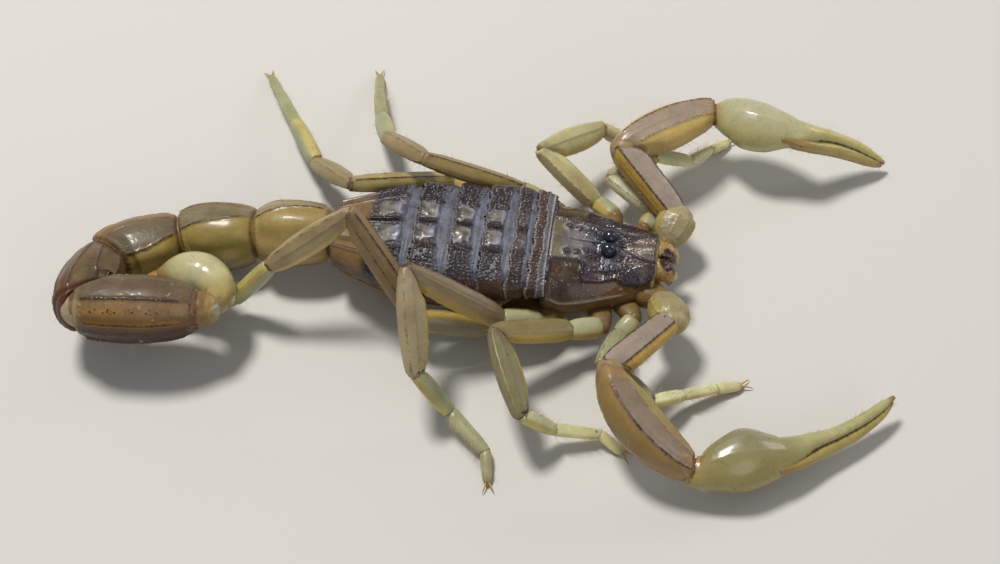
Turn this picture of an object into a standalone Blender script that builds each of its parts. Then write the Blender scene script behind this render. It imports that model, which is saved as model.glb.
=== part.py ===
"""Desert scorpion (a slender-clawed buthid), life size, standing with its tail curled flat beside it.

Sizes below are in millimetres and are scaled to metres when the meshes are made.
+X runs towards the head, +Y to the animal's left, +Z up, and the feet stand at z = 0.
The body is a chain of closed cuticle pieces that nearly touch at each joint.
"""

import math

import bmesh
import bpy
from mathutils import Vector

MM = 0.001

# Middle of the whole figure in plan, which becomes the origin.
PLAN_CENTRE = (-9.734, 0.98)

# Head shield and belly plates.
CARAPACE_LENGTH = 5.8
# Head shield, from its front edge: x, half breadth, height of its margin, height of its middle, power of its arch.
CARAPACE_STATIONS = (
    (0.0, 1.70, 3.00, 4.42, 4.8),
    (-0.35, 1.82, 2.95, 4.48, 4.6),
    (-1.00, 2.08, 2.98, 4.45, 4.3),
    (-1.65, 2.35, 3.02, 4.43, 4.0),
    (-2.30, 2.64, 3.12, 4.44, 3.6),
    (-3.00, 2.92, 3.20, 4.50, 3.2),
    (-3.70, 3.15, 3.20, 4.65, 3.1),
    (-4.40, 3.32, 3.18, 4.79, 3.0),
    (-5.10, 3.39, 3.20, 4.89, 2.95),
    (-5.80, 3.30, 3.45, 5.00, 2.9),
)
EYE_RADIUS = 0.41
EYE_X = -2.64
EYE_Y = 0.44
EYE_Z = 4.68
SOCKET_CLEARANCE = 0.06

# Fore part of the trunk: rear edge, half-width and top height of each of its seven rings.
TRUNK_RINGS = (
    (-6.45, 3.45, 5.22),
    (-7.25, 3.60, 5.24),
    (-8.30, 3.72, 5.26),
    (-9.65, 3.78, 5.28),
    (-11.50, 3.80, 5.34),
    (-13.75, 3.55, 5.34),
    (-17.95, 1.95, 4.72),
)
TRUNK_BOTTOM = 1.15
RING_GAP = 0.16

# Tail: length, half-width at the waist of the piece, roll of its back towards the inside of the curl,
# and the heading (azimuth, elevation) of each of the five pieces.
TAIL_ROOT = (-18.35, 0.30, 3.20)
TAIL = (
    (4.42, 1.78, 48, (-177.8, -5.7)),
    (4.58, 1.84, 68, (-174.8, -5.8)),
    (4.45, 1.80, 82, (-149.5, 3.1)),
    (4.83, 1.78, 90, (-88.2, 22.2)),
    (6.32, 1.74, 97, (5.8, -2.5)),
)

# Legs, front to rear: lengths of trochanter, femur, patella, tibia, basitarsus and tarsus.
LEG_LENGTHS = (
    (1.60, 3.40, 3.30, 2.40, 2.10, 1.45),
    (1.80, 4.70, 4.90, 2.70, 2.60, 1.50),
    (2.30, 6.30, 5.40, 3.40, 3.00, 1.70),
    (4.00, 7.10, 5.80, 4.10, 3.40, 1.90),
)
LEG_GIRTH = (0.80, 0.90, 1.0, 1.0)
# Hip joints on the left side; the right side mirrors them.
HIPS = ((-0.89, 3.14, 2.21), (-2.62, 3.85, 2.13), (-5.95, 3.95, 2.20), (-8.93, 4.12, 1.42))
# Heading (azimuth, elevation) of each leg piece, from the hip out.
# The near front leg is drawn in, so its first two pieces show shorter.
LEG_REACH = {"R1": (1.17, 3.22, 3.30, 2.40, 2.10, 1.45)}
LEG_POSE = {
    "R1": ((-127, -14), (-103, 22.5), (-30, -13), (41, -31), (28, -15), (24, -15)),
    "R2": ((-158, 13), (-153, 25), (-66, -11), (22, -53), (9, -17), (-30, -17)),
    "R3": ((-165, 20), (-177, 40), (-78, -31), (-11, -62), (-41, -12), (-79, -15)),
    "R4": ((-168, 21), (144, 48), (-162, -34), (-178, -53), (-157, -15), (-152, -11)),
    "L1": ((63, -9), (151, 16), (45, -9), (19, -26), (53, -20), (45, -15)),
    "L2": ((134, -13), (165, 46), (48, -21), (24, -48), (58, -14), (63, -14)),
    "L3": ((155, 9), (-173, 29), (131, -29), (110, -26), (104, -16), (101, -14)),
    "L4": ((150, 2), (-146, 28), (130, -31), (121, -10), (121, -8), (120, -10)),
}
# Half the space left between two pieces at a joint, and the steepest slant of a mitred end.
JOINT_GAP = 0.08
STEEPEST_MITRE = 1.25
TOE_HEIGHT = 0.24
SOLE_BAND = 0.10

# Pincer arms: lengths of trochanter, femur, patella, palm and fingers.
ARM_ROOT = (0.35, 1.95, 2.50)
ARM_LENGTHS = {"right": (2.2, 5.4, 6.5, 5.4, 6.6), "left": (1.68, 5.14, 6.5, 5.4, 6.2)}
ARM_POSE = {
    "right": ((-66, 22), (-124, 13), (-41, -20), (19, -4), (37, -2)),
    "left": ((68, 15.5), (136, 20.8), (39, -8), (-16, 4), (13, -34)),
}
# How far the patella bows outwards from the straight line between its joints.
ARM_BOW = {"right": 0.85, "left": 0.15}
# How far the fingers arch away from the straight line to their tips.
FINGER_BOW = {"right": 0.55, "left": 0.62}
# Share of the finger's length at which the movable finger starts.
FINGER_START = {"right": 0.115, "left": 0.20}
PALM_DEPTH = 1.82
PALM_WIDTH = 1.36
# Lean of the palm's deep side towards the middle of the animal.
PALM_LEAN = {"right": 54, "left": 36}

# Sting bulb.
BULB_CENTRE = (-25.52, -3.58, 3.40)
BULB_HALF = (1.95, 1.28, 1.30)

COLOURS = {
    "shield": ((0.055, 0.042, 0.040), 0.38),
    "belly": ((0.42, 0.30, 0.15), 0.42),
    "trunk": ((0.085, 0.078, 0.080), 0.42),
    "limb": ((0.52, 0.39, 0.18), 0.36),
    "palm": ((0.60, 0.53, 0.25), 0.26),
    "finger": ((0.50, 0.36, 0.14), 0.34),
    "tail": ((0.46, 0.33, 0.13), 0.36),
    "bulb": ((0.58, 0.52, 0.26), 0.22),
    "sting": ((0.12, 0.045, 0.02), 0.25),
    "eye": ((0.006, 0.005, 0.005), 0.06),
    "jaw": ((0.40, 0.24, 0.09), 0.34),
}


def clear_scene():
    for obj in list(bpy.data.objects):
        bpy.data.objects.remove(obj, do_unlink=True)


clear_scene()
PARTS = bpy.data.collections.new("desert_scorpion")
CUTTERS = bpy.data.collections.new("cutters")
bpy.context.scene.collection.children.link(PARTS)
bpy.context.scene.collection.children.link(CUTTERS)

BODY = bpy.data.objects.new("scorpion", None)
BODY.location = (-PLAN_CENTRE[0] * MM, -PLAN_CENTRE[1] * MM, 0.0)
PARTS.objects.link(BODY)


def material(kind):
    name = "cuticle_" + kind
    found = bpy.data.materials.get(name)
    if found:
        return found
    made = bpy.data.materials.new(name)
    made.use_nodes = True
    shader = made.node_tree.nodes["Principled BSDF"]
    colour, roughness = COLOURS[kind]
    shader.inputs["Base Color"].default_value = (*colour, 1.0)
    shader.inputs["Roughness"].default_value = roughness
    shader.inputs["Metallic"].default_value = 0.0
    return made


def heading(azimuth, elevation):
    a, e = math.radians(azimuth), math.radians(elevation)
    return Vector((math.cos(a) * math.cos(e), math.sin(a) * math.cos(e), math.sin(e)))


def chain(start, lengths, headings):
    """Joint points of a limb whose pieces have these lengths and headings."""
    points = [Vector(start)]
    for length, (azimuth, elevation) in zip(lengths, headings):
        points.append(points[-1] + heading(azimuth, elevation) * length)
    return points


def add_object(name, mesh_builder, kind, collection=PARTS, smooth=40):
    mesh = bpy.data.meshes.new(name)
    mesh_builder.to_mesh(mesh)
    mesh_builder.free()
    if smooth:
        mesh.shade_smooth()
        mesh.set_sharp_from_angle(angle=math.radians(smooth))
    mesh.materials.append(material(kind))
    obj = bpy.data.objects.new(name, mesh)
    collection.objects.link(obj)
    obj.parent = BODY
    return obj


def ring_points(centre, wide, deep, half_wide, half_deep, sides, power=2.0, flat_below=0.0):
    """A rounded section: a superellipse in the plane of two unit vectors."""
    points = []
    for k in range(sides):
        angle = 2 * math.pi * (k + 0.5) / sides
        c, s = math.cos(angle), math.sin(angle)
        c = math.copysign(abs(c) ** (2 / power), c)
        s = math.copysign(abs(s) ** (2 / power), s)
        if s < 0:
            s *= 1 - flat_below
        points.append(centre + wide * (half_wide * c) + deep * (half_deep * s))
    return points


def loft(rings):
    """Closed skin through rings of equal count, capped at both ends."""
    made = bmesh.new()
    loops = [[made.verts.new(p * MM) for p in ring] for ring in rings]
    count = len(rings[0])
    for low, high in zip(loops, loops[1:]):
        for k in range(count):
            n = (k + 1) % count
            made.faces.new((low[k], low[n], high[n], high[k]))
    made.faces.new(list(reversed(loops[0])))
    made.faces.new(loops[-1])
    bmesh.ops.recalc_face_normals(made, faces=made.faces)
    return made


def path_frames(points, normal):
    """Tangent and the two section directions at each path point; the second follows the given normal."""
    frames = []
    for k, point in enumerate(points):
        before = points[max(k - 1, 0)]
        after = points[min(k + 1, len(points) - 1)]
        tangent = (after - before).normalized()
        deep = (normal - tangent * normal.dot(tangent)).normalized()
        wide = tangent.cross(deep).normalized()
        frames.append((point, wide, deep))
    return frames


def mitre(rings, centres, axis, bend, weights, at_start, outer_reach=0.7):
    """Slants the end rings of a piece towards the plane that halves its bend with the next piece.

    The bend is the neighbour's direction and the joint point; no point passes that plane. On the
    outer side of the bend the end reaches forward by at most outer_reach times its radius.
    """
    neighbour, joint = bend
    half_plane = (axis + neighbour).normalized()
    slope = max(axis.dot(half_plane), 0.05)
    inward = 1 if at_start else -1
    order = range(len(rings)) if at_start else range(-1, -len(rings) - 1, -1)
    for index, weight in zip(order, tuple(weights) + (0.0,)):
        ring, centre = rings[index], centres[index]
        moved = []
        for point in ring:
            out = point - centre
            out -= axis * out.dot(axis)
            shift = -out.dot(half_plane) / slope
            shift *= inward
            reach = (STEEPEST_MITRE if shift > 0 else outer_reach) * out.length
            point = point + axis * (inward * weight * max(-reach, min(reach, shift)))
            room = inward * (point - joint).dot(half_plane)
            if room < JOINT_GAP:
                point = point + axis * (inward * (JOINT_GAP - room) / slope)
            moved.append(point)
        rings[index] = moved


def joint_gap(axis, neighbour, radius, base=JOINT_GAP):
    """How far an end stops short of its joint, so that the two mitred ends stay apart."""
    half = 0.5 * axis.angle(neighbour)
    return base / max(math.cos(half), 0.4) + radius * max(0.0, math.tan(half) - STEEPEST_MITRE)


def lofted_limb(stations, normal, sides, power=2.2, before=None, after=None, weights=(1.0, 0.5, 0.1)):
    """A limb piece from (point, half breadth, half thickness) stations."""
    centres = [s[0] for s in stations]
    frames = path_frames(centres, normal)
    rings = [
        ring_points(centre, wide, deep, station[1], station[2], sides, power)
        for (centre, wide, deep), station in zip(frames, stations)
    ]
    if before is not None:
        mitre(rings, centres, (centres[1] - centres[0]).normalized(), before, weights, True)
    if after is not None:
        mitre(rings, centres, (centres[-1] - centres[-2]).normalized(), after, weights, False)
    return loft(rings)


def stations_between(start, end, profile, gap_in, gap_out, bulge=None):
    """Stations along one piece: profile rows are (share of the length, half breadth, half thickness)."""
    axis = end - start
    length = axis.length
    axis.normalize()
    usable = length - gap_in - gap_out
    made = []
    for share, breadth, thickness in profile:
        point = start + axis * (gap_in + usable * share)
        if bulge is not None:
            point = point + bulge * (4 * share * (1 - share))
        made.append((point, breadth, thickness))
    return made


def stand_on_floor(obj):
    """Flattens what is within the sole band, so that a foot rests on a small flat."""
    for vertex in obj.data.vertices:
        world = (obj.matrix_basis @ vertex.co).z
        if world < SOLE_BAND * MM:
            vertex.co.z -= world


# ---------------------------------------------------------------- trunk


def trunk_section(x, half, top, bottom, sides=16, sag=0.0):
    """An arched back over a flatter belly; the widest level is a little below the middle."""
    middle = bottom + 0.58 * (top - bottom)
    points = []
    for k in range(sides):
        angle = 2 * math.pi * (k + 0.5) / sides
        c, s = math.cos(angle), math.sin(angle)
        y = half * math.copysign(abs(c) ** 0.78, c)
        if s >= 0:
            z = middle + (top - middle) * abs(s) ** 0.86
        else:
            z = middle - (middle - bottom) * abs(s) ** 0.62
            y *= 1 - 0.10 * abs(s)
        points.append(Vector((x, y, z + sag)))
    return points


def belly_level(x):
    """The underside rises over the hips, where the rear coxae lie below the trunk."""
    over_hips = max(0.0, min(1.0, (x + 10.2) / 1.8))
    return TRUNK_BOTTOM + 1.55 * over_hips * over_hips * (3 - 2 * over_hips)


def build_trunk():
    front, front_half, front_top = -CARAPACE_LENGTH, 3.3, 5.2
    for number, (rear, rear_half, rear_top) in enumerate(TRUNK_RINGS, start=1):
        steps = 2 if number < 5 else 3 if number < 7 else 6
        begin, end = front - RING_GAP, rear
        rings = []
        for k in range(steps + 1):
            share = k / steps
            x = begin + (end - begin) * share
            if number == 7:
                ease = share ** 1.2
                half = front_half + (rear_half - front_half) * ease
                top = front_top + (rear_top - front_top) * share ** 1.4
                low = belly_level(x) + 0.75 * share ** 2
            else:
                half = front_half + (rear_half - front_half) * share
                top = front_top + (rear_top - front_top) * share
                low = belly_level(x)
            rings.append(trunk_section(x, half, top, low))
        # Bevelled rims at both ends of the ring.
        for index, inward in ((0, 1), (-1, -1)):
            ring = rings[index]
            centre = sum(ring, Vector()) / len(ring)
            rim = [centre + (p - centre) * 0.955 for p in ring]
            moved = [p + Vector((-0.06 * inward, 0, 0)) for p in ring]
            if inward > 0:
                rings[0] = moved
                rings.insert(0, rim)
            else:
                rings[-1] = moved
                rings.append(rim)
        add_object(f"mesosoma_{number}", loft(rings), "trunk")
        front, front_half, front_top = rear, rear_half, rear_top


def build_carapace():
    rings = []
    for x, half, edge, top, arch in CARAPACE_STATIONS:
        hump = 0.26 * math.exp(-(((x - EYE_X) / 0.80) ** 2))
        points = []
        for across in (-1.0, -0.97, -0.9, -0.78, -0.56, -0.26, 0.0, 0.26, 0.56, 0.78, 0.9, 0.97, 1.0):
            bump = hump * math.exp(-((across * half / 0.75) ** 2))
            points.append(Vector((x, across * half, top - (top - edge) * abs(across) ** arch + bump)))
        # Flat underside, set in from the margins.
        for j in range(4):
            across = 0.93 - 1.86 * j / 3
            points.append(Vector((x, across * half, edge - 0.12)))
        rings.append(points)
    rim = [p + Vector((0.16, 0, 0)) for p in rings[0]]
    middle = sum(rim, Vector()) / len(rim)
    rings.insert(0, [middle + (p - middle) * 0.90 for p in rim])
    shield = add_object("carapace", loft(rings), "shield", smooth=50)
    for side in (-1, 1):
        socket = bmesh.new()
        bmesh.ops.create_uvsphere(socket, u_segments=12, v_segments=8, radius=(EYE_RADIUS + SOCKET_CLEARANCE) * MM)
        name = "socket_" + ("left" if side > 0 else "right")
        cutter = add_object(name, socket, "eye", CUTTERS)
        cutter.location = (EYE_X * MM, side * EYE_Y * MM, EYE_Z * MM)
        cutter.hide_render = True
        cutter.display_type = "WIRE"
        cut = shield.modifiers.new(name, "BOOLEAN")
        cut.operation = "DIFFERENCE"
        cut.solver = "EXACT"
        cut.object = cutter


def build_eyes():
    for side in (-1, 1):
        ball = bmesh.new()
        bmesh.ops.create_uvsphere(ball, u_segments=12, v_segments=8, radius=EYE_RADIUS * MM)
        eye = add_object("eye_" + ("left" if side > 0 else "right"), ball, "eye", smooth=180)
        eye.location = (EYE_X * MM, side * EYE_Y * MM, EYE_Z * MM)


def build_belly():
    """Breastplate and the eight leg coxae, joined into one solid that backs the hips."""
    plate = bmesh.new()
    bmesh.ops.create_uvsphere(plate, u_segments=14, v_segments=7, radius=1.0)
    for vertex in plate.verts:
        x, y, z = vertex.co
        vertex.co = Vector((x * 3.6 - 3.35, y * 2.35, 1.75 + z * 0.80)) * MM
    belly = add_object("coxae", plate, "belly")
    for side in (-1, 1):
        for number, (hip_x, hip_y, hip_z) in enumerate(HIPS, start=1):
            hip = Vector((hip_x, side * hip_y, hip_z))
            inner = Vector((-1.9 - 0.75 * number, side * 0.55, 1.45))
            axis = (hip - inner).normalized()
            outer = hip - axis * 0.32
            girth = 0.60 + 0.03 * number
            low = 0.42
            profile = ((0.0, girth * 0.8, low), (0.45, girth, low + 0.05), (0.88, girth * 0.86, low), (1.0, girth * 0.55, low * 0.62))
            stations = [(inner + (outer - inner) * share, breadth, thick) for share, breadth, thick in profile]
            coxa = add_object(
                f"coxa_{'L' if side > 0 else 'R'}{number}", lofted_limb(stations, Vector((0, 0, 1)), 8), "belly", CUTTERS
            )
            coxa.hide_render = True
            coxa.display_type = "WIRE"
            join = belly.modifiers.new(coxa.name, "BOOLEAN")
            join.operation = "UNION"
            join.solver = "EXACT"
            join.object = coxa


def build_jaws():
    """Chelicerae: short palms side by side under the front edge, each with a stubby pincer."""
    for side, name in ((1, "left"), (-1, "right")):
        start = Vector((0.62, side * 0.58, 3.50))
        end = Vector((1.20, side * 0.56, 2.45))
        profile = (
            (0.0, 0.42, 0.44),
            (0.15, 0.52, 0.56),
            (0.45, 0.53, 0.58),
            (0.65, 0.46, 0.48),
            (0.85, 0.28, 0.32),
            (1.0, 0.14, 0.16),
        )
        stations = stations_between(start, end, profile, 0.0, 0.0)
        add_object("chelicera_" + name, lofted_limb(stations, Vector((0, 0, 1)), 12), "jaw")


def build_combs():
    """Pectines: the pair of comb organs swept back and out under the trunk."""
    for side, name in ((1, "left"), (-1, "right")):
        start = Vector((-7.55, side * 0.72, 1.02))
        end = Vector((-10.55, side * 3.0, 0.92))
        profile = ((0.0, 0.24, 0.20), (0.10, 0.42, 0.25), (0.50, 0.46, 0.25), (0.85, 0.36, 0.25), (1.0, 0.18, 0.18))
        stations = stations_between(start, end, profile, 0.0, 0.0, Vector((0.25, side * 0.25, 0)))
        stations = [(p + Vector((0, 0, -0.30)), a, b) for p, a, b in stations]
        add_object("pectine_" + name, lofted_limb(stations, Vector((0, 0, 1)), 8), "belly")


# ---------------------------------------------------------------- limbs


def plane_normal(first, second, away):
    """Unit normal of the plane of two pieces, on the side of the given direction."""
    normal = first.cross(second).normalized()
    return normal if normal.dot(away) > 0 else -normal


def build_leg(code):
    number = int(code[1])
    side = 1 if code[0] == "L" else -1
    hip = Vector(HIPS[number - 1])
    hip.y *= side
    joints = chain(hip, LEG_REACH.get(code, LEG_LENGTHS[number - 1]), LEG_POSE[code])
    joints[6].z = TOE_HEIGHT
    girth = LEG_GIRTH[number - 1]
    upward = Vector((0, 0, 1))
    normal = plane_normal(joints[2] - joints[1], joints[3] - joints[2], upward)

    def rows(profile):
        return [(share, breadth * girth, thick * girth) for share, breadth, thick in profile]

    trochanter = rows(((0.0, 0.40, 0.36), (0.18, 0.60, 0.52), (0.72, 0.66, 0.54)))
    femur = rows(((0.12, 0.62, 0.50), (0.40, 0.74, 0.52), (0.75, 0.68, 0.50), (0.93, 0.56, 0.44), (1.0, 0.34, 0.28)))
    axes = [(b - a).normalized() for a, b in zip(joints, joints[1:])]
    knee = joint_gap(axes[1], axes[2], 0.40 * girth)
    shin = joint_gap(axes[2], axes[3], 0.40 * girth)
    upper = stations_between(joints[0], joints[1], trochanter, 0.34, 0.0)
    elbow = (joints[1], 0.56 * girth, 0.50 * girth)
    upper += [elbow] + stations_between(joints[1], joints[2], femur, 0.0, knee)
    add_object(f"leg_{code}_femur", lofted_limb(upper, normal, 8, after=(axes[2], joints[2])), "limb")

    patella = rows(((0.0, 0.30, 0.26), (0.10, 0.52, 0.42), (0.35, 0.82, 0.50), (0.68, 0.80, 0.50), (0.93, 0.58, 0.42), (1.0, 0.34, 0.28)))
    middle = stations_between(joints[2], joints[3], patella, knee, shin)
    add_object(f"leg_{code}_patella", lofted_limb(middle, normal, 8, before=(axes[1], joints[2]), after=(axes[3], joints[3])), "limb")

    shin_normal = plane_normal(joints[3] - joints[2], joints[4] - joints[3], upward)
    if abs(shin_normal.dot((joints[6] - joints[4]).normalized())) > 0.8:
        shin_normal = normal
    tibia = rows(((0.0, 0.28, 0.26), (0.12, 0.46, 0.38), (0.50, 0.50, 0.42), (0.90, 0.46, 0.40)))
    basitarsus = rows(((0.12, 0.40, 0.36), (0.55, 0.38, 0.34), (0.90, 0.34, 0.31)))
    tarsus = ((0.15, 0.30, 0.28), (0.55, 0.29, 0.27), (0.88, 0.26, 0.25), (1.0, 0.17, 0.20))
    lower = stations_between(joints[3], joints[4], tibia, shin, 0.0)
    lower.append((joints[4], 0.40 * girth, 0.37 * girth))
    lower += stations_between(joints[4], joints[5], basitarsus, 0.0, 0.0)
    lower.append((joints[5], 0.31, 0.29))
    lower += stations_between(joints[5], joints[6], tarsus, 0.0, 0.0)
    foot = add_object(f"leg_{code}_foot", lofted_limb(lower, upward, 8, before=(axes[2], joints[3])), "limb")
    stand_on_floor(foot)


def build_arm(name):
    side = 1 if name == "left" else -1
    root = Vector(ARM_ROOT)
    root.y *= side
    joints = chain(root, ARM_LENGTHS[name], ARM_POSE[name])
    upward = Vector((0, 0, 1))
    normal = plane_normal(joints[2] - joints[1], joints[3] - joints[2], upward)
    outward = Vector((0, side, 0))

    axes = [(b - a).normalized() for a, b in zip(joints, joints[1:])]
    hinge, elbow, wrist = (joint_gap(axes[k], axes[k + 1], 0.60) for k in range(3))
    trochanter = ((0.0, 0.55, 0.52), (0.25, 0.90, 0.80), (0.70, 1.02, 0.90), (1.0, 0.74, 0.70))
    stations = stations_between(joints[0], joints[1], trochanter, 0.20, hinge)
    add_object(f"pedipalp_{name}_trochanter", lofted_limb(stations, normal, 12, after=(axes[1], joints[1]), weights=(1.0, 0.5)), "limb")

    femur = ((0.0, 0.48, 0.50), (0.14, 0.68, 0.68), (0.55, 0.75, 0.72), (0.88, 0.78, 0.74), (1.0, 0.54, 0.52))
    stations = stations_between(joints[1], joints[2], femur, hinge, elbow)
    add_object(
        f"pedipalp_{name}_femur", lofted_limb(stations, normal, 12, 2.6, before=(axes[0], joints[1]), after=(axes[2], joints[2]), weights=(1.0, 0.6)), "limb"
    )

    patella = (
        (0.0, 0.48, 0.50),
        (0.08, 0.80, 0.80),
        (0.26, 1.16, 1.04),
        (0.50, 1.24, 1.08),
        (0.76, 1.08, 0.98),
        (0.93, 0.84, 0.80),
        (1.0, 0.56, 0.55),
    )
    bend = (joints[3] - joints[2]).cross(normal).normalized()
    if bend.dot(outward) < 0:
        bend = -bend
    if bend.dot(Vector((-1, 0, 0))) < 0:
        bend = -bend
    stations = stations_between(joints[2], joints[3], patella, elbow + 0.10, wrist, bend * ARM_BOW[name])
    add_object(
        f"pedipalp_{name}_patella", lofted_limb(stations, normal, 12, 2.6, before=(axes[1], joints[2]), after=(axes[3], joints[3]), weights=(1.0, 0.6)), "limb"
    )

    # Palm with the fixed finger: deep and swollen, leaning towards the middle of the animal.
    lean = math.radians(PALM_LEAN[name])
    palm_axis = (joints[4] - joints[3]).normalized()
    depth = Vector((0, -side * math.sin(lean), math.cos(lean)))
    depth = (depth - palm_axis * depth.dot(palm_axis)).normalized()
    palm = (
        (0.0, 0.42, 0.42),
        (0.06, 0.74, 0.70),
        (0.20, PALM_WIDTH * 0.90, PALM_DEPTH * 0.86),
        (0.46, PALM_WIDTH, PALM_DEPTH),
        (0.72, PALM_WIDTH * 0.86, PALM_DEPTH * 0.88),
        (0.92, PALM_WIDTH * 0.62, PALM_DEPTH * 0.66),
    )
    stations = stations_between(joints[3], joints[4], palm, wrist + 0.05, 0.0)
    finger_axis = (joints[5] - joints[4]).normalized()
    finger_length = (joints[5] - joints[4]).length
    # The fingers close on a plane across the palm's depth; the fixed one lies on the inner side of it.
    split = (depth - finger_axis * depth.dot(finger_axis)).normalized()
    drift = (finger_axis - palm_axis * finger_axis.dot(palm_axis)).normalized()
    sideways = finger_axis.cross(split).normalized()
    arch = -drift if drift.dot(sideways) < 0 else drift
    inner_sign = 1 if split.dot(Vector((0, -side, 0))) > 0 else -1
    fixed = ((0.05, 0.56, 0.60), (0.34, 0.42, 0.37), (0.62, 0.36, 0.27), (0.88, 0.28, 0.17), (1.0, 0.16, 0.10))
    offset = split * (0.60 * inner_sign)
    for share, breadth, thick in fixed:
        sway = -drift * (FINGER_BOW[name] * 4 * share * (1 - share))
        lift = offset * (1 - 0.66 * share)
        stations.append((joints[4] + finger_axis * (finger_length * share) + sway + lift, breadth, thick))
    add_object(f"pedipalp_{name}_palm", lofted_limb(stations, depth, 12, before=(axes[2], joints[3])), "palm")

    moving = ((0.0, 0.38, 0.28), (0.06, 0.55, 0.40), (0.22, 0.48, 0.36), (0.50, 0.38, 0.28), (0.80, 0.29, 0.19), (1.0, 0.16, 0.10))
    stations = []
    for share, breadth, thick in moving:
        along = FINGER_START[name] + (0.99 - FINGER_START[name]) * share
        sway = -drift * (FINGER_BOW[name] * 4 * along * (1 - along))
        drop = offset * (-(1.0 - 0.66 * along))
        stations.append((joints[4] + finger_axis * (finger_length * along) + sway + drop, breadth, thick))
    add_object(f"pedipalp_{name}_finger", lofted_limb(stations, depth, 10), "finger")


# ---------------------------------------------------------------- tail


def keeled_ring(centre, side, back, half_side, half_back, keels):
    """Section of a tail piece: a rounded many-sided outline whose corners are the keels."""
    points = []
    count = 14
    for k in range(count):
        angle = 2 * math.pi * (k + 0.5) / count
        ridge = 1 + keels * (1 if k % 2 == 0 else -1)
        c, s = math.cos(angle), math.sin(angle)
        hollow = 0.90 if s > 0.9 else 1.0
        points.append(centre + side * (half_side * c * ridge) + back * (half_back * s * ridge * hollow))
    return points


def tail_frame(axis, roll):
    """Directions across a tail piece: its side, and its back turned towards the inside of the curl."""
    inside = Vector((0, 0, 1)).cross(axis).normalized()
    upright = axis.cross(inside) * -1
    if upright.z < 0:
        upright = -upright
    angle = math.radians(roll)
    back = (upright * math.cos(angle) + inside * math.sin(angle)).normalized()
    return axis.cross(back).normalized(), back


def build_tail():
    joints = chain(TAIL_ROOT, [row[0] for row in TAIL], [row[3] for row in TAIL])
    for number, (length, half, roll, _) in enumerate(TAIL, start=1):
        start, end = joints[number - 1], joints[number]
        axis = (end - start).normalized()
        side, back = tail_frame(axis, roll)
        if number < 5:
            profile = ((0.0, 0.62), (0.05, 0.80), (0.14, 0.90), (0.38, 1.0), (0.68, 1.04), (0.86, 0.99), (0.95, 0.88), (1.0, 0.64))
        else:
            profile = ((0.0, 0.62), (0.04, 0.86), (0.12, 0.95), (0.30, 1.03), (0.52, 1.02), (0.76, 0.92), (0.90, 0.84), (0.965, 0.78), (1.0, 0.55))
        before = (start - joints[number - 2]).normalized() if number > 1 else axis
        after = (joints[number + 1] - end).normalized() if number < 5 else axis
        gap_in, gap_out = joint_gap(axis, before, half * 0.62), joint_gap(axis, after, half * 0.62)
        usable = length - gap_in - gap_out
        centres = [start + axis * (gap_in + usable * share) for share, _ in profile]
        rings = [
            keeled_ring(centre, side, back, half * size, half * size * 0.97, 0.022)
            for centre, (_, size) in zip(centres, profile)
        ]
        mitre(rings, centres, axis, (before, start), (1.0, 0.75, 0.55, 0.2), True, 0.25)
        mitre(rings, centres, axis, (after, end), (1.0, 0.75, 0.55, 0.2), False, 0.35)
        add_object(f"metasoma_{number}", loft(rings), "tail", smooth=25)
    return joints[-1]


def build_telson(tail_end):
    """The bulb folds back along the inner side of the last tail piece, and the sting curves past it."""
    centre = Vector(BULB_CENTRE)
    neck = tail_end + Vector((0.50, 0.95, -0.28))
    stations = [
        (neck + Vector((0.02, 0.12, -0.02)), 0.42, 0.42),
        (neck + Vector((0.20, 0.55, -0.12)), 0.62, 0.62),
        (neck + Vector((0.10, 1.20, -0.35)), 0.92, 0.92),
        (centre + Vector((0.75, -0.10, 0.05)), 1.20, 1.22),
        (centre + Vector((-0.05, 0.05, 0.0)), BULB_HALF[1], BULB_HALF[2]),
        (centre + Vector((-0.90, 0.05, -0.02)), 1.10, 1.12),
        (centre + Vector((-1.55, -0.02, -0.05)), 0.78, 0.80),
        (centre + Vector((-1.95, -0.12, -0.06)), 0.50, 0.50),
        (centre + Vector((-2.15, -0.18, -0.06)), 0.34, 0.34),
    ]
    add_object("telson_bulb", lofted_limb(stations, Vector((0, 0, 1)), 14), "bulb")
    start = centre + Vector((-2.34, -0.24, -0.16))
    rings = []
    for k, half in enumerate((0.28, 0.30, 0.25, 0.19, 0.13, 0.08)):
        share = k / 5
        bend = Vector((-1.45 * math.sin(1.25 * share), -1.10 * (1 - math.cos(1.45 * share)), -0.75 * share))
        rings.append((start + bend, half, half))
    add_object("telson_sting", lofted_limb(rings, Vector((0, 0, 1)), 8), "sting")


build_carapace()
build_eyes()
build_belly()
build_jaws()
build_trunk()
build_combs()
for leg_code in LEG_POSE:
    build_leg(leg_code)
for arm_name in ARM_POSE:
    build_arm(arm_name)
build_telson(build_tail())
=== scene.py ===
"""Looks of the desert scorpion: cuticle plates, membranes, eyes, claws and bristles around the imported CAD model.

Shapes are worked out in millimetres with +X towards the head, +Y to the animal's left and +Z up, and
are moved to the row frame in metres when each mesh is made.
"""

import math

import bpy
import numpy as np
from mathutils import Matrix, Vector


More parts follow.
